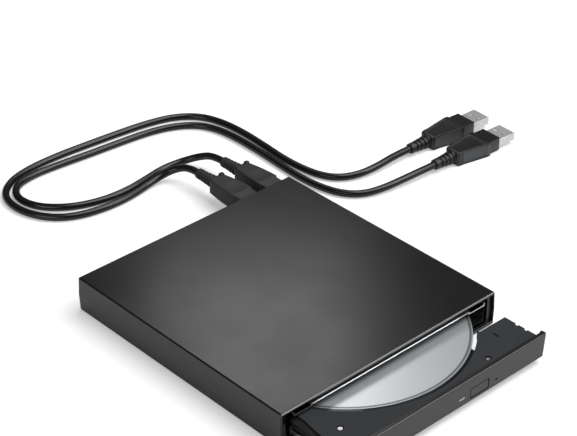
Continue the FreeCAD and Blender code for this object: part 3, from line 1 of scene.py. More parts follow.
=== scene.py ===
# %% [markdown]
# # External disc drive, tray pulled out
#
# This file dresses a finished construction model of a slim USB disc drive. The model comes in as a
# fixed frame: every piece already has its size and place. Here the pieces get their finishes, and
# the ones whose plain shape shows too much get a better one.
#
# All lengths are in metres, so a millimetre is 0.001.

# %% Load the frame
import math

import bmesh
import bpy
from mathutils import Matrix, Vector


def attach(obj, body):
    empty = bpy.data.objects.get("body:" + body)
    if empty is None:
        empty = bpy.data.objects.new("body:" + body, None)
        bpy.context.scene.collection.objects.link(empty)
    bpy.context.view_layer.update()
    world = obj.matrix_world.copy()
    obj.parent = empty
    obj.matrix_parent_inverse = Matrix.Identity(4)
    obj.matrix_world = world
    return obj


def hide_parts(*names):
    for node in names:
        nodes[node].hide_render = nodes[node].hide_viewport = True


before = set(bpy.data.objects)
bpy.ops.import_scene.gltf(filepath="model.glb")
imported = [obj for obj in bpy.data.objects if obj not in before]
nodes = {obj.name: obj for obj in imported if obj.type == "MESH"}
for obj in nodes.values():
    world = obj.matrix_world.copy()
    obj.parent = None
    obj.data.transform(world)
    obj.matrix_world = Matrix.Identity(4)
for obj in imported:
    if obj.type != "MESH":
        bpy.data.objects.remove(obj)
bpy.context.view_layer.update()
MM = 0.001

# %% [markdown]
# ## Small tools
#
# Blender's operators act on whatever is selected, so each piece starts with nothing selected. In
# edit mode, faces and edges are picked by where they are and which way they look, as one would by
# hand with the mouse.


# %% Tools for modelling
def select_nothing():
    """Leave edit mode and drop the selection."""
    if bpy.context.object and bpy.context.object.mode != "OBJECT":
        bpy.ops.object.mode_set(mode="OBJECT")
    bpy.ops.object.select_all(action="DESELECT")


def select_only(piece):
    select_nothing()
    piece.select_set(True)
    bpy.context.view_layer.objects.active = piece


def named(name):
    """Name the piece that an operator has just made, and its mesh."""
    piece = bpy.context.object
    piece.name = name
    piece.data.name = name
    return piece


def add_block(name, low, high):
    """A box between two corners, in millimetres, ready to be shaped."""
    select_nothing()
    size = [(b - a) * MM for a, b in zip(low, high)]
    middle = [(a + b) / 2 * MM for a, b in zip(low, high)]
    bpy.ops.mesh.primitive_cube_add(size=1.0, location=middle)
    piece = named(name)
    piece.scale = size
    bpy.ops.object.transform_apply(location=True, rotation=True, scale=True)
    return piece


def pick(piece, kind, wanted):
    """Select vertices, edges or faces whose middle, in millimetres, and normal pass the test."""
    bpy.ops.mesh.select_mode(type=kind)
    bpy.ops.mesh.select_all(action="DESELECT")
    cage = bmesh.from_edit_mesh(piece.data)
    for part in {"VERT": cage.verts, "EDGE": cage.edges, "FACE": cage.faces}[kind]:
        if kind == "VERT":
            middle, normal = part.co, part.normal
        elif kind == "EDGE":
            middle = (part.verts[0].co + part.verts[1].co) / 2
            normal = (part.verts[1].co - part.verts[0].co).normalized()
        else:
            middle, normal = part.calc_center_median(), part.normal
        if wanted(middle / MM, normal):
            part.select_set(True)
    cage.select_flush_mode()
    bmesh.update_edit_mesh(piece.data)


def slice_at(piece, place, normal):
    """Cut new edges across a piece where a plane meets it, and keep both halves."""
    bpy.ops.mesh.select_all(action="SELECT")
    bpy.ops.mesh.bisect(plane_co=[value * MM for value in place], plane_no=normal)


def round_edges(piece, width, segments, angle):
    """Round the edges sharper than the angle with a Bevel modifier and apply it."""
    bevel = piece.modifiers.new("round", "BEVEL")
    bevel.width = width * MM
    bevel.segments = segments
    bevel.limit_method = "ANGLE"
    bevel.angle_limit = math.radians(angle)
    bevel.use_clamp_overlap = True
    bevel.harden_normals = False
    select_only(piece)
    bpy.ops.object.modifier_apply(modifier="round")


def smooth(piece, angle):
    """Shade smooth, except over edges sharper than the angle."""
    select_only(piece)
    bpy.ops.object.shade_smooth_by_angle(angle=math.radians(angle))


def carry_to(piece, place, turn=0.0):
    """Turn a piece about Z, move it to its place, and put both into its mesh."""
    select_only(piece)
    piece.rotation_euler = (0, 0, math.radians(turn))
    piece.location = [value * MM for value in place]
    bpy.ops.object.transform_apply(location=True, rotation=True, scale=True)


# %% [markdown]
# ## Camera
#
# The photograph is taken from above the front left corner with a long lens, from about a metre
# away. The camera's place was found by matching the case's corners, the tray and the plugs, so the
# picture's shape needs no shift.

# %% Camera
PHOTO_WIDTH = 577
FOCAL_LENGTH_IN_PIXELS = 1876.43
SENSOR_WIDTH = 36.0
camera_data = bpy.data.cameras.new("camera")
camera = bpy.data.objects.new("camera", camera_data)
bpy.context.scene.collection.objects.link(camera)
camera_data.sensor_fit = "HORIZONTAL"
camera_data.sensor_width = SENSOR_WIDTH
camera_data.lens = SENSOR_WIDTH * FOCAL_LENGTH_IN_PIXELS / PHOTO_WIDTH
camera.location = (-0.49825, -0.53981, 0.52560)
look = Vector((0.06121, 0.06445, 0.0)) - camera.location
camera.rotation_mode = "QUATERNION"
camera.rotation_quaternion = look.to_track_quat("-Z", "Y")
camera_data.clip_start = 0.05
camera_data.clip_end = 20.0
bpy.context.scene.camera = camera
print("camera looks from", tuple(round(v, 3) for v in camera.location))

# %% [markdown]
# ## Leads
#
# Two short round leads come out of the back, drop to the table, swing out to the left in a loose
# loop and run round the case's right side to their plugs. Each is one smooth curve: a NURBS spline
# whose control points, in millimetres, are the places that the lead passes by. The curve's bevel is
# one metre, and the radius of each point brings it down to the lead's own, so that the curve's box is
# the lead's box.

# %% Leads
LEAD_RADIUS = 2.0
power_route = [
    (63.0, 117.5, 10.2), (63.0, 126.0, 10.2), (61.3, 135.4, 6.4), (54.6, 142.4, 3.0), (43.0, 144.8, 2.0),
    (30.0, 142.4, 2.0), (16.0, 140.3, 2.0), (2.0, 140.8, 2.0), (-11.0, 144.2, 2.0), (-22.0, 150.6, 2.0),
    (-30.5, 160.5, 2.0), (-33.0, 173.0, 2.0), (-27.0, 183.6, 2.0), (-14.0, 187.2, 2.0), (4.0, 186.2, 2.0),
    (24.0, 184.1, 2.0), (44.0, 182.5, 2.0), (62.0, 180.6, 2.0), (77.0, 176.2, 2.0), (88.0, 168.0, 2.0),
    (93.0, 156.0, 2.0), (94.2, 140.0, 2.0), (93.5, 122.0, 2.0), (92.2, 104.0, 2.0), (91.2, 88.0, 2.0),
    (92.4, 73.0, 2.0), (96.2, 60.5, 2.0), (104.0, 52.2, 2.2), (115.0, 48.6, 2.8), (128.0, 46.8, 3.7),
    (141.0, 45.64, 4.3), (150.496, 45.143, 4.3),
]
data_route = [
    (45.5, 117.5, 10.2), (45.5, 125.4, 10.2), (42.8, 132.6, 7.6), (36.4, 136.8, 4.4), (27.8, 137.2, 2.5),
    (17.8, 135.4, 2.0), (7.0, 134.2, 2.0), (-5.0, 134.6, 2.0), (-18.0, 137.2, 2.0), (-29.0, 143.6, 2.0),
    (-36.5, 154.5, 2.0), (-39.3, 168.0, 2.0), (-36.0, 181.2, 2.0), (-25.0, 190.2, 2.0), (-9.0, 193.8, 2.0),
    (10.0, 194.2, 2.0), (30.0, 192.7, 2.0), (50.0, 191.0, 2.0), (68.0, 188.8, 2.0), (84.0, 184.3, 2.0),
    (95.5, 174.5, 2.0), (100.0, 160.0, 2.0), (100.8, 143.0, 2.0), (99.6, 125.0, 2.0), (98.0, 108.0, 2.0),
    (98.4, 94.0, 2.0), (100.6, 82.0, 2.0), (106.0, 72.8, 2.2), (116.0, 67.4, 2.7), (129.0, 66.0, 3.5),
    (142.0, 66.55, 4.3), (152.997, 66.069, 4.3),
]


def make_lead(name, route):
    line = bpy.data.curves.new(name, "CURVE")
    line.dimensions = "3D"
    spline = line.splines.new("NURBS")
    spline.points.add(len(route) - 1)
    for point, place in zip(spline.points, route):
        point.co = (*(value * MM for value in place), 1.0)
        point.radius = LEAD_RADIUS * MM
    spline.order_u = 3
    spline.use_endpoint_u = True
    spline.resolution_u = 8
    line.bevel_depth = 1.0
    line.bevel_resolution = 6
    line.use_fill_caps = True
    lead = bpy.data.objects.new(name, line)
    bpy.context.scene.collection.objects.link(lead)
    return lead


power_lead = make_lead("power_lead", power_route)
data_lead = make_lead("data_lead", data_route)
print("leads", len(power_route), len(data_route), "points")

# %% [markdown]
# ## Type A plugs
#
# Each far end is a moulded plug. It starts as a block along X, is cut across where its sides
# change slope, and each cut is scaled to the plug's width there. The flat panels on its top and
# sides are faces inset and pushed in a little, which is where fingers hold it.

# %% Type A plugs
PLUG_STATIONS = [
    # along X, half width, half height
    (16.0, 4.3, 3.6), (17.4, 4.95, 4.2), (21.0, 5.1, 4.25), (29.0, 6.4, 4.3), (36.6, 7.6, 4.3),
    (38.6, 7.5, 4.3), (39.4, 6.6, 3.95), (46.5, 6.5, 3.9),
]


def scale_station(piece, place, half_width, half_height):
    """Scale a cut across X of a block that is 2 mm wide and high."""
    pick(piece, "VERT", lambda co, n: abs(co.x - place) < 0.02)
    bpy.ops.transform.resize(value=(1.0, half_width, half_height),
                             center_override=(place * MM, 0.0, 0.0))


def start_at_stations(name, stations):
    """A block along X, cut and scaled at its stations, left in edit mode."""
    body = add_block(name, (stations[0][0], -1, -1), (stations[-1][0], 1, 1))
    bpy.ops.object.mode_set(mode="EDIT")
    for place, _, _ in stations[1:-1]:
        slice_at(body, (place, 0, 0), (1, 0, 0))
    for station in stations:
        scale_station(body, *station)
    return body


def sink_panel(piece, side, start, end, rim, slope, depth):
    """Push a panel in on one side, between two places along X, with a rim and a sloped wall."""
    way = Vector(side)
    pick(piece, "FACE", lambda co, n: n.dot(way) > 0.8 and start < co.x < end)
    bpy.ops.mesh.inset(thickness=rim * MM, depth=0, use_even_offset=True)
    bpy.ops.mesh.inset(thickness=slope * MM, depth=-depth * MM, use_even_offset=True)


def make_plug_body(name):
    body = start_at_stations(name, PLUG_STATIONS)
    for side in ((0, 0, 1), (0, 0, -1), (0, 1, 0), (0, -1, 0)):
        sink_panel(body, side, 17.5, 36.5, rim=0.9, slope=0.35, depth=0.45)
    bpy.ops.object.mode_set(mode="OBJECT")
    round_edges(body, 0.7, 3, 40)
    smooth(body, 40)
    return body


def make_relief(name, cable_end, body_end, cable_radius, body_radius, ribs, collar, groove):
    """A strain relief along X: a plain collar at the cable, then deep-cut ribs that grow wider."""
    way = 1 if body_end > cable_end else -1
    length = abs(body_end - cable_end)
    pitch = (length - collar) / ribs
    outline = [(0.0, 0.0), (0.0, cable_radius - 0.25), (0.3, cable_radius),
               (collar - 0.2, cable_radius + 0.1)]
    for number in range(ribs):
        left = collar + number * pitch
        radius = cable_radius + (body_radius - cable_radius) * (number + 1) / ribs
        outline += [(left + 0.1 * pitch, radius - groove), (left + 0.4 * pitch, radius - groove),
                    (left + 0.5 * pitch, radius - 0.1), (left + 0.75 * pitch, radius),
                    (left + 0.95 * pitch, radius - 0.1)]
    outline += [(length, body_radius), (length, 0.0)]
    return turned(name, [(cable_end + way * place, radius) for place, radius in outline])


def turned(name, outline):
    """Spin an outline of (place along X, radius) points about the X axis."""
    select_nothing()
    bpy.ops.mesh.primitive_plane_add(size=0.001, location=(0, 0, 0))
    piece = named(name)
    bpy.ops.object.mode_set(mode="EDIT")
    bpy.ops.mesh.select_mode(type="VERT")
    bpy.ops.mesh.select_all(action="SELECT")
    bpy.ops.mesh.merge(type="CENTER")
    start = Vector((outline[0][0], outline[0][1], 0)) * MM
    bpy.ops.transform.translate(value=start)
    for before, after in zip(outline, outline[1:]):
        step = ((after[0] - before[0]) * MM, (after[1] - before[1]) * MM, 0)
        bpy.ops.mesh.extrude_region_move(TRANSFORM_OT_translate={"value": step})
    bpy.ops.mesh.select_all(action="SELECT")
    bpy.ops.mesh.spin(steps=32, angle=math.tau, center=(0, 0, 0), axis=(1, 0, 0))
    bpy.ops.mesh.select_all(action="SELECT")
    bpy.ops.mesh.remove_doubles(threshold=0.00001)
    bpy.ops.mesh.normals_make_consistent(inside=False)
    bpy.ops.object.mode_set(mode="OBJECT")
    smooth(piece, 30)
    return piece


plugs = {}
for lead_name, place, turn in (("data", (150.0, 66.2, 4.3), -2.5), ("power", (147.5, 45.3, 4.3), -3.0)):
    body = make_plug_body(f"{lead_name}_plug_grip")
    relief = make_relief(f"{lead_name}_plug_relief", cable_end=3.0, body_end=16.6, cable_radius=2.95,
                         body_radius=3.95, ribs=4, collar=3.2, groove=0.85)
    for piece in (body, relief):
        carry_to(piece, place, turn)
    plugs[lead_name] = (body, relief)
    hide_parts(f"{lead_name}_plug_body")
    print(lead_name, "plug", len(body.data.polygons), "faces, relief", len(relief.data.polygons))

# %% [markdown]
# ## Rear plugs
#
# At the back each lead ends in a moulded hood: a wedge-shaped grip with a shallow thumb recess and
# two small ears at its cable end, a narrower neck that meets the case, and a ribbed strain relief.

# %% Rear plugs
HOOD_STATIONS = [
    # along X from the case's back wall, half width, half height
    (0.25, 5.6, 4.3), (9.2, 5.6, 4.3), (9.9, 6.3, 4.75), (15.0, 6.2, 4.7), (22.0, 5.7, 4.6),
    (29.3, 4.75, 4.4), (31.5, 4.35, 4.3),
]
EAR_START, EAR_INSIDE, EAR_HEIGHT = 29.3, 2.0, 1.0


def make_hood(name):
    hood = start_at_stations(name, HOOD_STATIONS)
    for side in ((0, 0, 1), (0, 0, -1)):
        sink_panel(hood, side, 10.0, 22.0, rim=1.3, slope=0.6, depth=0.3)
    for across in (-EAR_INSIDE, EAR_INSIDE):
        slice_at(hood, (0, across, 0), (0, 1, 0))
    pick(hood, "FACE", lambda co, n: n.z > 0.8 and co.x > EAR_START and abs(co.y) > EAR_INSIDE)
    bpy.ops.mesh.extrude_region_move(TRANSFORM_OT_translate={"value": (0, 0, EAR_HEIGHT * MM)})
    bpy.ops.object.mode_set(mode="OBJECT")
    round_edges(hood, 0.8, 3, 40)
    smooth(hood, 40)
    return hood


REAR_FACE = 72.45
EXIT_HEIGHT = 10.2
hoods = {}
for lead_name, across in (("data", 45.5), ("power", 63.0)):
    hood = make_hood(f"{lead_name}_hood")
    relief = make_relief(f"{lead_name}_hood_relief", cable_end=45.05, body_end=31.2, cable_radius=2.9,
                         body_radius=3.7, ribs=4, collar=2.8, groove=0.9)
    for piece in (hood, relief):
        carry_to(piece, (across, REAR_FACE, EXIT_HEIGHT), 90)
    hoods[lead_name] = (hood, relief)
    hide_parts(f"{lead_name}_rear_plug")
print("hoods", sorted(hoods))

# %% [markdown]
# ## Attaching the leads
#
# Each lead's CAD cord is hidden, and the lead, with the plugs and hoods that lie on it, is attached
# to the case. Its real length and the point where it leaves its rear plug are listed but not used.

for lead_name, lead, length, exit_point in (
        ("power", power_lead, 0.430, (0.063, 0.1175, 0.0102)),
        ("data", data_lead, 0.422, (0.0455, 0.1175, 0.0102))):
    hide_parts(f"{lead_name}_cord")
    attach(lead, "case")
    for piece in (*plugs[lead_name], *hoods[lead_name]):
        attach(piece, "case")

# %% [markdown]
# ## Table and lights
#
# The drive stands on a plain white table under soft studio light. A large soft lamp hangs high on
# the right, so the shadow falls to the left. A small soft lamp behind gives the sheen on the case,
# two weak ones lift the front strip and the left wall, and a pale sky fills the rest. The table
# shows white to the camera, and a little less bright to the pieces that mirror it.

# %% Table
TABLE_SIZE = 6.0
TABLE_GLOW = 0.36
MIRRORED_SHARE = 0.4
select_nothing()
bpy.ops.mesh.primitive_plane_add(size=TABLE_SIZE, location=(0, 0, -0.00005))
table = named("table")


def new_material(name):
    material = bpy.data.materials.new(name)
    material.use_nodes = True
    material.node_tree.nodes.clear()
    return material


def add_node(tree, kind, **settings):
    node = tree.nodes.new(kind)
    for key, value in settings.items():
        setattr(node, key, value)
    return node


table_white = new_material("table_white")
tree = table_white.node_tree
plain = add_node(tree, "ShaderNodeBsdfDiffuse")
plain.inputs["Color"].default_value = (0.60, 0.60, 0.605, 1)
shaded = add_node(tree, "ShaderNodeBsdfDiffuse")
shaded.inputs["Color"].default_value = (0.74, 0.74, 0.745, 1)
glow = add_node(tree, "ShaderNodeEmission")
glow.inputs["Strength"].default_value = TABLE_GLOW
pale = add_node(tree, "ShaderNodeAddShader")
path = add_node(tree, "ShaderNodeLightPath")
through = add_node(tree, "ShaderNodeMath", operation="MAXIMUM")
tree.links.new(path.outputs["Is Camera Ray"], through.inputs[0])
tree.links.new(path.outputs["Is Transmission Ray"], through.inputs[1])
viewed = add_node(tree, "ShaderNodeMath", operation="MULTIPLY_ADD", use_clamp=True)
viewed.inputs[1].default_value = MIRRORED_SHARE
tree.links.new(path.outputs["Is Glossy Ray"], viewed.inputs[0])
tree.links.new(through.outputs[0], viewed.inputs[2])
choice = add_node(tree, "ShaderNodeMixShader")
out = add_node(tree, "ShaderNodeOutputMaterial")
tree.links.new(shaded.outputs[0], pale.inputs[0])
tree.links.new(glow.outputs[0], pale.inputs[1])
tree.links.new(viewed.outputs[0], choice.inputs["Fac"])
tree.links.new(plain.outputs[0], choice.inputs[1])
tree.links.new(pale.outputs[0], choice.inputs[2])
tree.links.new(choice.outputs[0], out.inputs["Surface"])
table.data.materials.append(table_white)


# %% Lights
def add_lamp(name, place, size, power, target=(0.0, 0.0, 0.0)):
    """A soft white lamp, with its place and size in metres and its power in watts."""
    data = bpy.data.lights.new(name, "AREA")
    data.shape = "RECTANGLE"
    data.size, data.size_y = size
    data.energy = power
    lamp = bpy.data.objects.new(name, data)
    lamp.location = place
    lamp.rotation_mode = "QUATERNION"
    lamp.rotation_quaternion = (Vector(target) - Vector(place)).to_track_quat("-Z", "Y")
    bpy.context.scene.collection.objects.link(lamp)


add_lamp("key", (0.42, -0.22, 1.25), (1.1, 1.1), 17.0)
add_lamp("back_softbox", (0.325, 0.385, 0.445), (0.17, 0.17), 0.27, (0.0, 0.0, 0.019))
add_lamp("edge_light", (0.60, -0.65, 0.65), (0.4, 0.4), 3.0)
add_lamp("left_fill", (-0.9, -0.2, 0.5), (0.7, 0.6), 3.2)

world = bpy.data.worlds.new("studio")
bpy.context.scene.world = world
world.use_nodes = True
sky = world.node_tree
sky.nodes.clear()
seen = add_node(sky, "ShaderNodeLightPath")
shown = add_node(sky, "ShaderNodeBackground")
shown.inputs["Color"].default_value = (1, 1, 1, 1)
shown.inputs["Strength"].default_value = 1.0
soft = add_node(sky, "ShaderNodeBackground")
soft.inputs["Color"].default_value = (0.97, 0.98, 1.0, 1)
soft.inputs["Strength"].default_value = 0.08
mixed = add_node(sky, "ShaderNodeMixShader")
sky_out = add_node(sky, "ShaderNodeOutputWorld")
sky.links.new(seen.outputs["Is Camera Ray"], mixed.inputs["Fac"])
sky.links.new(soft.outputs[0], mixed.inputs[1])
sky.links.new(shown.outputs[0], mixed.inputs[2])
sky.links.new(mixed.outputs[0], sky_out.inputs["Surface"])
bpy.context.scene.view_settings.view_transform = "Standard"
print("lamps and sky set")

# %% [markdown]
# ## Shared effects
#
# The finishes share two small effects. Each is one node group, made once: a fine moulded grain and
# the long fine lines of rolled steel, both with a cloudy mask. They give a mask and a height only,
# and each finish uses them with its own numbers.


# %% Effect groups
def new_group(name, inputs, outputs):
    group = bpy.data.node_groups.new(name, "ShaderNodeTree")
    for label, kind, value in inputs:
        socket = group.interface.new_socket(label, in_out="INPUT", socket_type=kind)
        if value is not None:
            socket.default_value = value
    for label, kind in outputs:
        group.interface.new_socket(label, in_out="OUTPUT", socket_type=kind)
    return group, add_node(group, "NodeGroupInput"), add_node(group, "NodeGroupOutput")


def make_grain_group():
    group, start, end = new_group(
        "moulded_grain",
        [("Vector", "NodeSocketVector", None), ("Scale", "NodeSocketFloat", 3000.0)],
        [("Height", "NodeSocketFloat"), ("Mask", "NodeSocketFloat")])
    fine = add_node(group, "ShaderNodeTexNoise")
    fine.inputs["Detail"].default_value = 3.0
    fine.inputs["Roughness"].default_value = 0.6
    cloud = add_node(group, "ShaderNodeTexNoise")
    cloud.inputs["Scale"].default_value = 38.0
    cloud.inputs["Detail"].default_value = 4.0
    links = group.links
    links.new(start.outputs["Vector"], fine.inputs["Vector"])
    links.new(start.outputs["Scale"], fine.inputs["Scale"])
    links.new(start.outputs["Vector"], cloud.inputs["Vector"])
    links.new(fine.outputs["Fac"], end.inputs["Height"])
    links.new(cloud.outputs["Fac"], end.inputs["Mask"])
    return group


def make_rolled_group():
    group, start, end = new_group(
        "rolled_lines",
        [("Vector", "NodeSocketVector", None), ("Across", "NodeSocketFloat", 2600.0),
         ("Along", "NodeSocketFloat", 40.0)],
        [("Height", "NodeSocketFloat"), ("Mask", "NodeSocketFloat")])
    split = add_node(group, "ShaderNodeSeparateXYZ")
    joined = add_node(group, "ShaderNodeCombineXYZ")
    links = group.links
    links.new(start.outputs["Vector"], split.inputs[0])
    for axis, factor in (("X", "Along"), ("Y", "Across"), ("Z", "Across")):
        times = add_node(group, "ShaderNodeMath", operation="MULTIPLY")
        links.new(split.outputs[axis], times.inputs[0])
        links.new(start.outputs[factor], times.inputs[1])
        links.new(times.outputs[0], joined.inputs[axis])
    lines = add_node(group, "ShaderNodeTexNoise")
    lines.inputs["Scale"].default_value = 1.0
    lines.inputs["Detail"].default_value = 2.0
    cloud = add_node(group, "ShaderNodeTexNoise")
    cloud.inputs["Scale"].default_value = 60.0
    links.new(joined.outputs[0], lines.inputs["Vector"])
    links.new(start.outputs["Vector"], cloud.inputs["Vector"])
    links.new(lines.outputs["Fac"], end.inputs["Height"])
    links.new(cloud.outputs["Fac"], end.inputs["Mask"])
    return group


grain_group = make_grain_group()
rolled_group = make_rolled_group()
print("effect groups", [group.name for group in bpy.data.node_groups])


# %% [markdown]
# ## Finishes
#
# Most pieces are moulded plastic, rubber, or bare and painted steel. One helper builds the common
# chain: an effect group gives a cloudy mask that moves the colour and the roughness a little, and a
# height for a fine bump. What is the same all over, such as the coat, is set on the shader itself.
# Painted light and shade, such as a highlight along an edge or shade in a recess, are patches of colour
# placed by position.


# %% Finish helper
def inside_limits(tree, vector, limits):
    """A mask that is one where each (axis, operation, millimetres) holds."""
    split = add_node(tree, "ShaderNodeSeparateXYZ")
    tree.links.new(vector, split.inputs[0])
    mask = None
    for axis, operation, place in limits:
        test = add_node(tree, "ShaderNodeMath", operation=operation)
        test.inputs[1].default_value = place * MM
        tree.links.new(split.outputs[axis], test.inputs[0])
        if mask:
            both = add_node(tree, "ShaderNodeMath", operation="MULTIPLY")
            tree.links.new(mask, both.inputs[0])
            tree.links.new(test.outputs[0], both.inputs[1])
            test = both
        mask = test.outputs[0]
    return mask


def finish(name, dark, light, roughness, group=None, scale=None, bump=0.05, distance=0.00002,
           metallic=0.0, coat=0.0, coat_roughness=0.1, specular=0.5, transmission=0.0, ior=1.5,
           light_and_shade_patches=()):
    """A material whose colour and roughness move between two values with an effect's mask.

    Patches are places with painted light or shade: (colour, limits), where the limits are
    (axis, operation, millimetres) and all of them have to hold."""
    material = new_material(name)
    tree = material.node_tree
    links = tree.links
    where = add_node(tree, "ShaderNodeTexCoord")
    effect = add_node(tree, "ShaderNodeGroup")
    effect.node_tree = group or grain_group
    if scale:
        key = "Scale" if "Scale" in effect.inputs else "Across"
        effect.inputs[key].default_value = scale
    colours = add_node(tree, "ShaderNodeMix", data_type="RGBA")
    colours.inputs["A"].default_value = (*dark, 1)
    colours.inputs["B"].default_value = (*light, 1)
    spread = add_node(tree, "ShaderNodeMapRange")
    spread.inputs["From Min"].default_value = 0.3
    spread.inputs["From Max"].default_value = 0.7
    spread.inputs["To Min"].default_value = roughness[0]
    spread.inputs["To Max"].default_value = roughness[1]
    dents = add_node(tree, "ShaderNodeBump")
    dents.inputs["Strength"].default_value = bump
    dents.inputs["Distance"].default_value = distance
    shader = add_node(tree, "ShaderNodeBsdfPrincipled")
    shader.inputs["Metallic"].default_value = metallic
    shader.inputs["Coat Weight"].default_value = coat
    shader.inputs["Coat Roughness"].default_value = coat_roughness
    shader.inputs["Specular IOR Level"].default_value = specular
    shader.inputs["Transmission Weight"].default_value = transmission
    shader.inputs["IOR"].default_value = ior
    out = add_node(tree, "ShaderNodeOutputMaterial")
    links.new(where.outputs["Object"], effect.inputs["Vector"])
    links.new(effect.outputs["Mask"], colours.inputs["Factor"])
    links.new(effect.outputs["Mask"], spread.inputs["Value"])
    links.new(effect.outputs["Height"], dents.inputs["Height"])
    colour = colours.outputs["Result"]
    for patch_colour, limits in light_and_shade_patches:
        patch = add_node(tree, "ShaderNodeMix", data_type="RGBA")
        patch.inputs["B"].default_value = (*patch_colour, 1)
        links.new(colour, patch.inputs["A"])
        links.new(inside_limits(tree, where.outputs["Object"], limits), patch.inputs["Factor"])
        colour = patch.outputs["Result"]
    links.new(colour, shader.inputs["Base Color"])
    links.new(spread.outputs["Result"], shader.inputs["Roughness"])
    links.new(dents.outputs["Normal"], shader.inputs["Normal"])
    links.new(shader.outputs[0], out.inputs["Surface"])
    return material


def dress(material, *names):
    """Give a finish to CAD nodes by name, or to new pieces."""
    for name in names:
        piece = nodes[name] if isinstance(name, str) else name
        piece.data.materials.clear()
        piece.data.materials.append(material)


# %% [markdown]
# ### Case
#
# The case is dark satin plastic with a very fine moulded texture. It looks charcoal where it
# mirrors the lamp behind it or the table, and nearly black elsewhere, so its own colour is almost
# black and its gloss is broad. The top's front edge, over the opening, carries a painted highlight,
# a paler strip.

# %% Case finish
# The patch is a painted highlight along the top's front edge, where its rounding would catch the light.
case_black = finish("case_black", (0.004, 0.004, 0.0042), (0.006, 0.006, 0.0062), (0.22, 0.27),
                    scale=5200.0, bump=0.04, specular=0.5,
                    light_and_shade_patches=[((0.16, 0.16, 0.16),
                              [("Y", "LESS_THAN", -70.95), ("Z", "GREATER_THAN", 18.35)])])
dress(case_black, "top_cover", "bottom_cover")

foot_rubber = finish("foot_rubber", (0.01, 0.01, 0.01), (0.02, 0.02, 0.02), (0.75, 0.9), scale=2600.0,
                     bump=0.2)
dress(foot_rubber, "rubber_feet", "traverse_dampers")

# %% [markdown]
# ### Tray and front strip
#
# The tray and its front strip are the same moulded plastic, a little paler and more matte than
# the case, with a spark-eroded grain. The tray below its plate, in the disc's recess, is painted
# darker as painted shade.

# %% Tray finish
# Below Z 12.6 mm the tray is painted near black: painted shade in the disc's recess.
tray_plastic = finish("tray_plastic", (0.021, 0.0225, 0.025), (0.029, 0.0305, 0.033), (0.65, 0.75),
                      scale=3600.0, bump=0.12, specular=0.2,
                      light_and_shade_patches=[((0.008, 0.008, 0.009), [("Z", "LESS_THAN", 12.6)])])
bezel_plastic = finish("bezel_plastic", (0.007, 0.0073, 0.0082), (0.010, 0.0103, 0.0112), (0.24, 0.30),
                       scale=4200.0, bump=0.05, specular=0.65)
dress(tray_plastic, "tray")
dress(bezel_plastic, "bezel", "eject_button")
guide_plastic = finish("guide_plastic", (0.5, 0.5, 0.48), (0.6, 0.6, 0.57), (0.4, 0.5), scale=2400.0)
dress(guide_plastic, "left_guide", "right_guide")
latch_white = finish("latch_white", (0.55, 0.54, 0.5), (0.66, 0.65, 0.6), (0.35, 0.45), scale=2400.0)
dress(latch_white, "latch_hook")

# %% [markdown]
# ### Steel and other metals
#
# The drive's pan and lid are bright galvanised steel, its rails and screws harder and darker. The
# long fine lines of rolling run across the drive. The lid's cut edge at the opening catches the
# light, but the disc mirrors it from below, where the real edge is dark in shade, so rays that come
# off a shiny piece find the whole lid near black: a painted dark reflection. The lid's underside
# and the pan's front edges are painted near black too, as painted shade.

# %% Metal finishes
rail_steel = finish("rail_steel", (0.5, 0.5, 0.52), (0.62, 0.62, 0.63), (0.25, 0.36),
                    group=rolled_group, bump=0.08, metallic=1.0)
screw_steel = finish("screw_steel", (0.55, 0.55, 0.57), (0.7, 0.7, 0.71), (0.2, 0.32), scale=1800.0,
                     metallic=1.0)
frame_steel = finish("frame_steel", (0.5, 0.5, 0.52), (0.62, 0.62, 0.63), (0.28, 0.38),
                     group=rolled_group, bump=0.08, metallic=1.0)
motor_metal = finish("motor_metal", (0.42, 0.42, 0.44), (0.55, 0.55, 0.57), (0.25, 0.4),
                     group=rolled_group, bump=0.08, metallic=1.0)
sled_metal = finish("sled_metal", (0.35, 0.35, 0.36), (0.45, 0.45, 0.46), (0.38, 0.5), scale=2200.0,
                    metallic=1.0, bump=0.15)
plug_steel = finish("plug_steel", (0.66, 0.66, 0.68), (0.78, 0.78, 0.79), (0.24, 0.34), scale=1600.0,
                    metallic=0.65)
socket_steel = finish("socket_steel", (0.6, 0.6, 0.62), (0.72, 0.72, 0.73), (0.2, 0.3), scale=1600.0,
                      metallic=1.0)
# In front of Y -70 mm the pan is painted near black: painted shade on its front edges inside the case.
pan_steel_painted_shade = finish("pan_steel_painted_shade", (0.5, 0.51, 0.52), (0.6, 0.61, 0.62), (0.22, 0.34), group=rolled_group,
                  bump=0.10, metallic=1.0, light_and_shade_patches=[((0.01, 0.01, 0.01), [("Y", "LESS_THAN", -70.0)])])
dress(pan_steel_painted_shade, "drive_pan")
# Below Z 15.5 mm the lid is painted near black, painted shade on its underside; the front strip in front
# of Y -71.3 mm keeps the steel colour.
lid_steel = finish("lid_steel", (0.62, 0.63, 0.65), (0.74, 0.75, 0.76), (0.3, 0.4), group=rolled_group,
                   bump=0.04, metallic=1.0,
                   light_and_shade_patches=[((0.03, 0.03, 0.031), [("Z", "LESS_THAN", 15.5)]),
                            ((0.6, 0.6, 0.61), [("Y", "LESS_THAN", -71.3)])])
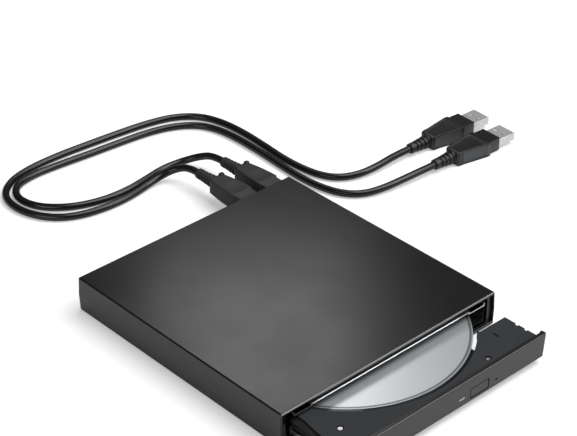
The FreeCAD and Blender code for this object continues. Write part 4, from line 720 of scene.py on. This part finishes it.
# For glossy rays the whole lid is painted near black, a painted dark reflection in the disc under the
# opening.
tree = lid_steel.node_tree
shader = tree.nodes["Principled BSDF"]
route = add_node(tree, "ShaderNodeLightPath")
painted_dark_reflection = add_node(tree, "ShaderNodeMix", data_type="RGBA")
painted_dark_reflection.inputs["B"].default_value = (0.01, 0.01, 0.01, 1)
tree.links.new(route.outputs["Is Glossy Ray"], painted_dark_reflection.inputs["Factor"])
tree.links.new(shader.inputs["Base Color"].links[0].from_socket, painted_dark_reflection.inputs["A"])
tree.links.new(painted_dark_reflection.outputs["Result"], shader.inputs["Base Color"])
dress(lid_steel, "drive_lid")
dress(rail_steel, "left_rail", "right_rail", "catch_post")
dress(screw_steel, "case_screws", "drive_screws", "lid_screws", "tray_screws", "traverse_screws",
      "guide_rods", "lead_screw")
dress(frame_steel, "traverse_frame", "lens_yokes", "spindle_stator")
dress(motor_metal, "spindle_rotor", "sled_motor", "latch_solenoid")
dress(sled_metal, "pickup_sled")
dress(plug_steel, "data_plug_shell", "power_plug_shell", "data_rear_tip", "power_rear_tip")
dress(socket_steel, "usb_socket_shell", "power_socket_pin")

# %% [markdown]
# ### Boards, chips and small plastics
#
# Most of these are seen only through the sockets and the opening, or when the case is taken apart.

# %% Board finishes
board_green = finish("board_green", (0.006, 0.055, 0.03), (0.012, 0.085, 0.045), (0.25, 0.35),
                     scale=900.0, bump=0.08, coat=0.4)
chip_black = finish("chip_black", (0.012, 0.012, 0.013), (0.02, 0.02, 0.021), (0.45, 0.6), scale=3000.0)
connector_black = finish("connector_black", (0.015, 0.015, 0.015), (0.024, 0.024, 0.024), (0.4, 0.5),
                         scale=2600.0)
light_clear = finish("light_clear", (0.72, 0.75, 0.76), (0.85, 0.87, 0.88), (0.1, 0.2), scale=1500.0,
                     transmission=0.35)
hub_plastic = finish("hub_plastic", (0.02, 0.02, 0.022), (0.035, 0.035, 0.037), (0.4, 0.5), scale=2600.0)
lens_glass = finish("lens_glass", (0.6, 0.72, 0.95), (0.7, 0.8, 1.0), (0.02, 0.05), scale=300.0,
                    bump=0.0, transmission=0.85)
dress(board_green, "bridge_board", "drive_board", "tray_board")
dress(chip_black, "bridge_chips", "drive_chips", "eject_switch")
dress(connector_black, "bridge_connector", "drive_connector", "power_socket_body", "usb_socket_tongue",
      "lens_holder")
dress(light_clear, "light_pipe", "status_led")
dress(hub_plastic, "turntable_hub", "hub_pawls", "turntable_pad")
dress(lens_glass, "objective_lens")

# %% [markdown]
# ### Leads and their plugs
#
# The leads are glossy, the type A plugs satin with a painted highlight on their sides, and the
# rear hoods matte and coarse.

# %% Lead finishes
lead_black = finish("lead_black", (0.005, 0.005, 0.0055), (0.009, 0.009, 0.0095), (0.2, 0.28),
                    scale=2400.0, bump=0.08, specular=0.4)
# On the type A plugs' sides the colour is painted paler: painted light, where the sides face the light.
painted_side_light = [("X", "GREATER_THAN", 168.0), ("X", "LESS_THAN", 185.5),
               ("Z", "GREATER_THAN", 1.4), ("Z", "LESS_THAN", 7.2)]
plug_black = finish("plug_black", (0.006, 0.006, 0.0065), (0.011, 0.011, 0.0115), (0.34, 0.44),
                    scale=2600.0, bump=0.12, light_and_shade_patches=[((0.055, 0.058, 0.061), painted_side_light)])
hood_black = finish("hood_black", (0.018, 0.018, 0.0185), (0.038, 0.038, 0.0385), (0.5, 0.62),
                    scale=1400.0, bump=0.35, distance=0.00006, specular=0.25)
for lead_name, lead in (("power", power_lead), ("data", data_lead)):
    dress(lead_black, lead)
    dress(plug_black, *plugs[lead_name])
    dress(hood_black, *hoods[lead_name])

# %% [markdown]
# ### Disc
#
# A pressed disc: a clear hub ring, a stacking ring, the silvered area and a clear rim. All of
# these are rings about the disc's middle, so the finish measures how far each point is from there.

# %% Disc finish
DISC_MIDDLE = (1.34, -37.92, 12.2)
RAMP_RADIUS = 60.5
DISC_RINGS = [
    # radius in millimetres, brightness
    (0.0, 0.42), (17.0, 0.42), (17.2, 0.3), (18.0, 0.3), (18.2, 0.5), (21.5, 0.5), (22.0, 0.79),
    (57.6, 0.79), (58.2, 0.78), (58.5, 0.2), (59.2, 0.24), (59.5, 0.65), (60.0, 0.7),
]


def make_disc_finish():
    material = new_material("disc_silver")
    tree = material.node_tree
    links = tree.links
    where = add_node(tree, "ShaderNodeTexCoord")
    centred = add_node(tree, "ShaderNodeMapping")
    centred.inputs["Location"].default_value = [-value * MM for value in DISC_MIDDLE]
    flat = add_node(tree, "ShaderNodeVectorMath", operation="MULTIPLY")
    flat.inputs[1].default_value = (1, 1, 0)
    away = add_node(tree, "ShaderNodeVectorMath", operation="LENGTH")
    rings = add_node(tree, "ShaderNodeValToRGB")
    ramp = rings.color_ramp
    while len(ramp.elements) < len(DISC_RINGS):
        ramp.elements.new(0.5)
    for element, (radius, value) in zip(ramp.elements, DISC_RINGS):
        element.position = radius / RAMP_RADIUS
        element.color = (value * 0.96, value, value * 1.03, 1)
    share = add_node(tree, "ShaderNodeMath", operation="DIVIDE")
    share.inputs[1].default_value = RAMP_RADIUS * MM
    shader = add_node(tree, "ShaderNodeBsdfPrincipled")
    shader.inputs["Metallic"].default_value = 0.88
    shader.inputs["Roughness"].default_value = 0.33
    out = add_node(tree, "ShaderNodeOutputMaterial")
    links.new(where.outputs["Object"], centred.inputs["Vector"])
    links.new(centred.outputs[0], flat.inputs[0])
    links.new(flat.outputs[0], away.inputs[0])
    links.new(away.outputs["Value"], share.inputs[0])
    links.new(share.outputs[0], rings.inputs[0])
    links.new(rings.outputs["Color"], shader.inputs["Base Color"])
    links.new(shader.outputs[0], out.inputs["Surface"])
    return material


disc_silver = make_disc_finish()
dress(disc_silver, "disc")
print("materials", len(bpy.data.materials))
